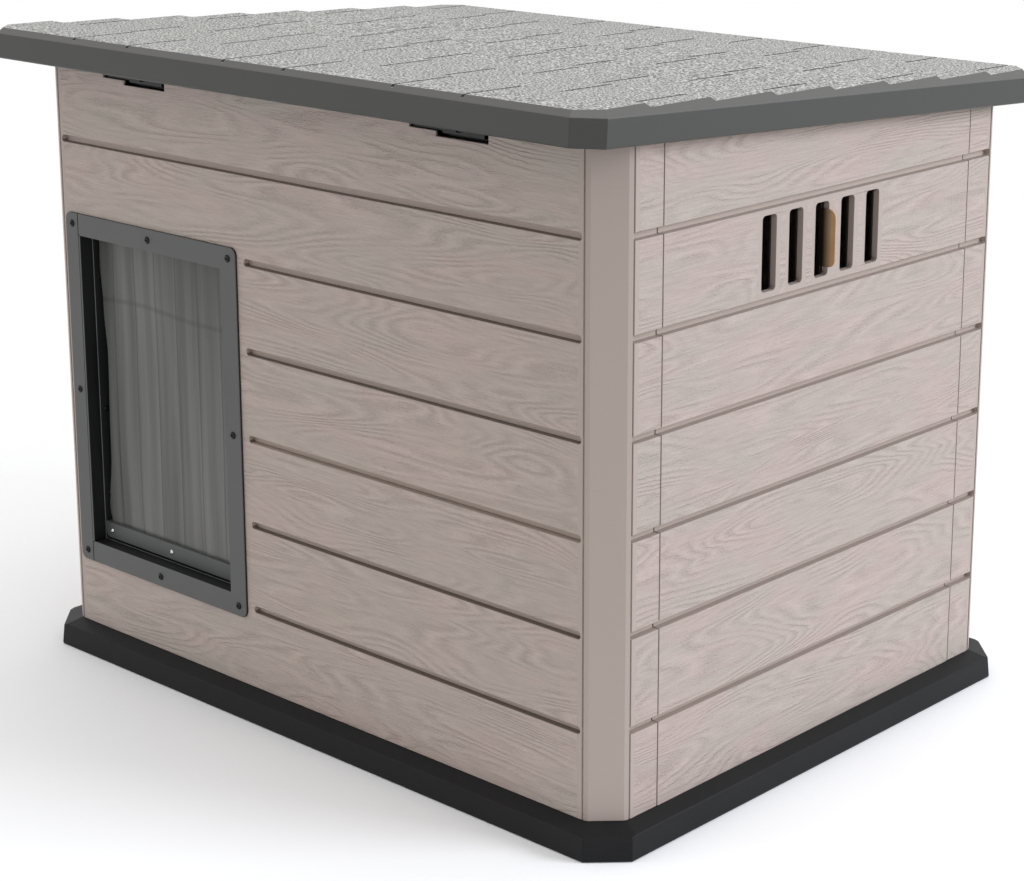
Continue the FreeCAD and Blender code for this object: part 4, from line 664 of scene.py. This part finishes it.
def vinylMaterial():
    material, tree, shader = newMaterial("smoke PVC sheet", Roughness=0.32, IOR=1.5, Alpha=0.9)
    place = addNode(tree, "TexCoord")
    xyz = addNode(tree, "SeparateXYZ", None, {0: place.outputs["Object"]})
    pulled = addNode(tree, "VectorMath", {
        "operation": "MULTIPLY", 1: vinyl["pull"],
    }, {0: place.outputs["Object"]})
    streak = addNode(tree, "TexNoise", {"Scale": 1.0, "Detail": 3.0, "Roughness": 0.5}, {"Vector": pulled})
    tone = addNode(tree, "MapRange", {1: vinyl["tones"][0], 2: vinyl["tones"][1]}, {0: streak})
    skin = addNode(tree, "Mix", {
        "data_type": "RGBA", 6: srgb(vinyl["deep"]), 7: srgb(vinyl["pale"]),
    }, {0: tone})
    fromRib = addNode(tree, "Math", {"operation": "SUBTRACT", 1: vinyl["ribAt"] * mm}, {0: xyz.outputs["X"]})
    fromRib = addNode(tree, "Math", {"operation": "PINGPONG", 1: flap["ribPitch"] / 2 * mm}, {0: fromRib})
    ribLine = addNode(tree, "MapRange", {
        1: vinyl["ribFrom"] * mm, 2: vinyl["ribTo"] * mm, 3: vinyl["ribShare"], 4: 0.0,
    }, {0: fromRib})
    skin = addNode(tree, "Mix", {"data_type": "RGBA", 7: srgb(vinyl["line"])}, {0: ribLine, 6: skin.outputs[2]})
    # painted on the sheet: the far wall's lap line seen through it, and painted shade of a darker cabin to the
    # upper right
    sag = addNode(tree, "Math", {"operation": "MULTIPLY", 1: vinyl["lapTurns"]}, {0: xyz.outputs["X"]})
    sag = addNode(tree, "Math", {"operation": "SINE"}, {0: sag})
    lap = addNode(tree, "Math", {
        "operation": "MULTIPLY_ADD", 1: vinyl["lapSag"] * mm,
    }, {0: sag, 2: xyz.outputs["Z"]})
    lap = addNode(tree, "Math", {"operation": "SUBTRACT", 1: vinyl["lapAt"] * mm}, {0: lap})
    lap = addNode(tree, "Math", {"operation": "ABSOLUTE"}, {0: lap})
    lap = addNode(tree, "MapRange", {
        "interpolation_type": "SMOOTHSTEP",
        1: vinyl["lapFrom"] * mm, 2: vinyl["lapTo"] * mm, 3: vinyl["lapShare"], 4: 0.0,
    }, {0: lap})
    skin = addNode(tree, "Mix", {"data_type": "RGBA", 7: srgb(vinyl["line"])}, {0: lap, 6: skin.outputs[2]})
    paintedCabinShade = addNode(tree, "Math", {"operation": "ADD"}, {0: xyz.outputs["X"], 1: xyz.outputs["Z"]})
    paintedCabinShade = addNode(tree, "MapRange", {
        "interpolation_type": "SMOOTHSTEP",
        1: vinyl["duskFrom"] * mm, 2: vinyl["duskTo"] * mm, 3: 0.0, 4: vinyl["duskShare"],
    }, {0: paintedCabinShade})
    skin = addNode(tree, "Mix", {"data_type": "RGBA", 7: srgb(vinyl["paintedCabinShade"])}, {0: paintedCabinShade, 6: skin.outputs[2]})
    tree.links.new(skin.outputs[2], shader.inputs["Base Color"])
    bump = addNode(tree, "Bump", {
        "Strength": vinyl["rippleShare"], "Distance": vinyl["ripple"] * mm,
    }, {"Height": streak})
    tree.links.new(bump.outputs[0], shader.inputs["Normal"])
    return material


flapVinyl = flapPiece(vinylMaterial())
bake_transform(flapVinyl)
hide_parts("flap_sheet", "flap_held_edge")
print("flap done")

# Painted studio floor: pale and matt, with only a breath of mottling.
studio = {
    "paint": ("#f6f6f6", "#fafafa"), "half": 2.6,
    "fadeFrom": 0.55, "fadeTo": 1.45,            # the metres over which the floor melts into the white backdrop
    "fill": 0.72, "backdrop": 1.0,               # how bright the world is to surfaces, and to the eye
}
floorPaint = cloudyMaterial("matt floor paint", studio["paint"], scale=3.0, detail=2.0, Roughness=0.9)
floorTree = floorPaint.node_tree
floorPlace = addNode(floorTree, "TexCoord")
floorReach = addNode(floorTree, "VectorMath", {"operation": "LENGTH"}, {0: floorPlace.outputs["Object"]})
floorFade = addNode(floorTree, "MapRange", {
    "interpolation_type": "SMOOTHSTEP", 1: studio["fadeFrom"], 2: studio["fadeTo"], 3: 1.0, 4: 0.0,
}, {0: floorReach.outputs["Value"]})
floorTree.links.new(floorFade.outputs[0], floorTree.nodes["Principled BSDF"].inputs["Alpha"])
floorShape = bmesh.new()
bmesh.ops.create_grid(floorShape, x_segments=1, y_segments=1, size=studio["half"])
floor = meshPiece("floor", floorShape, floorPaint)

lights = {
    # place, aim, size, watts, colour
    "key": ((3.2, 1.5, 2.0), (0.3, 0.1, 0.45), 1.6, 94.0, (0.84, 0.90, 1.0)),
    "top": ((-0.3, -0.3, 6.0), (0.0, 0.0, 0.4), 5.0, 130.0, (0.97, 0.97, 1.0)),
    "front": ((-1.6, -3.0, 1.3), (-0.2, -0.3, 0.4), 0.1, 6.0, (0.97, 0.97, 1.0)),
}
for name, (place, aim, size, watts, colour) in lights.items():
    lamp = bpy.data.lights.new(name, "AREA")
    lamp.energy = watts
    lamp.size = size
    lamp.color = colour
    obj = bpy.data.objects.new(name, lamp)
    obj.location = place
    obj.rotation_euler = (Vector(aim) - Vector(place)).to_track_quat("-Z", "Y").to_euler()
    bpy.context.scene.collection.objects.link(obj)

world = bpy.data.worlds.new("studio")
world.use_nodes = True
bpy.context.scene.world = world
worldTree = world.node_tree
background = worldTree.nodes["Background"]
background.inputs["Color"].default_value = (1, 1, 1, 1)
ray = addNode(worldTree, "LightPath")
shown = ray.outputs["Is Camera Ray"]
for kind in ("Is Transmission Ray", "Is Glossy Ray"):
    shown = addNode(worldTree, "Math", {"operation": "MAXIMUM"}, {0: shown, 1: ray.outputs[kind]})
strength = addNode(worldTree, "MapRange", {3: studio["fill"], 4: studio["backdrop"]}, {0: shown})
worldTree.links.new(strength.outputs[0], background.inputs["Strength"])

camera = {
    "place": (1.90486, -2.01795, 1.12400), "yaw": -0.75801, "pitch": -0.24763, "roll": -0.00372,
    "focal": 2405.0, "middleRow": 320.0, "width": 1024.0, "height": 881.0,  # pixels of the photo
}
cameraData = bpy.data.cameras.new("camera")
cameraData.lens = camera["focal"] / camera["width"] * cameraData.sensor_width
cameraData.shift_y = (camera["middleRow"] - camera["height"] / 2) / camera["width"]
cameraObject = bpy.data.objects.new("camera", cameraData)
yaw, pitch, roll = camera["yaw"], camera["pitch"], camera["roll"]
forward = Vector((math.sin(yaw) * math.cos(pitch), math.cos(yaw) * math.cos(pitch), math.sin(pitch)))
level = forward.cross(Vector((0, 0, 1))).normalized()
upward = level.cross(forward)
right = level * math.cos(roll) + upward * math.sin(roll)
up = upward * math.cos(roll) - level * math.sin(roll)
turn = Matrix((right, up, -forward)).transposed()
cameraObject.matrix_world = Matrix.Translation(camera["place"]) @ turn.to_4x4()
bpy.context.scene.collection.objects.link(cameraObject)
bpy.context.scene.camera = cameraObject
bpy.context.scene.view_settings.view_transform = "Standard"
print("lights and camera done")
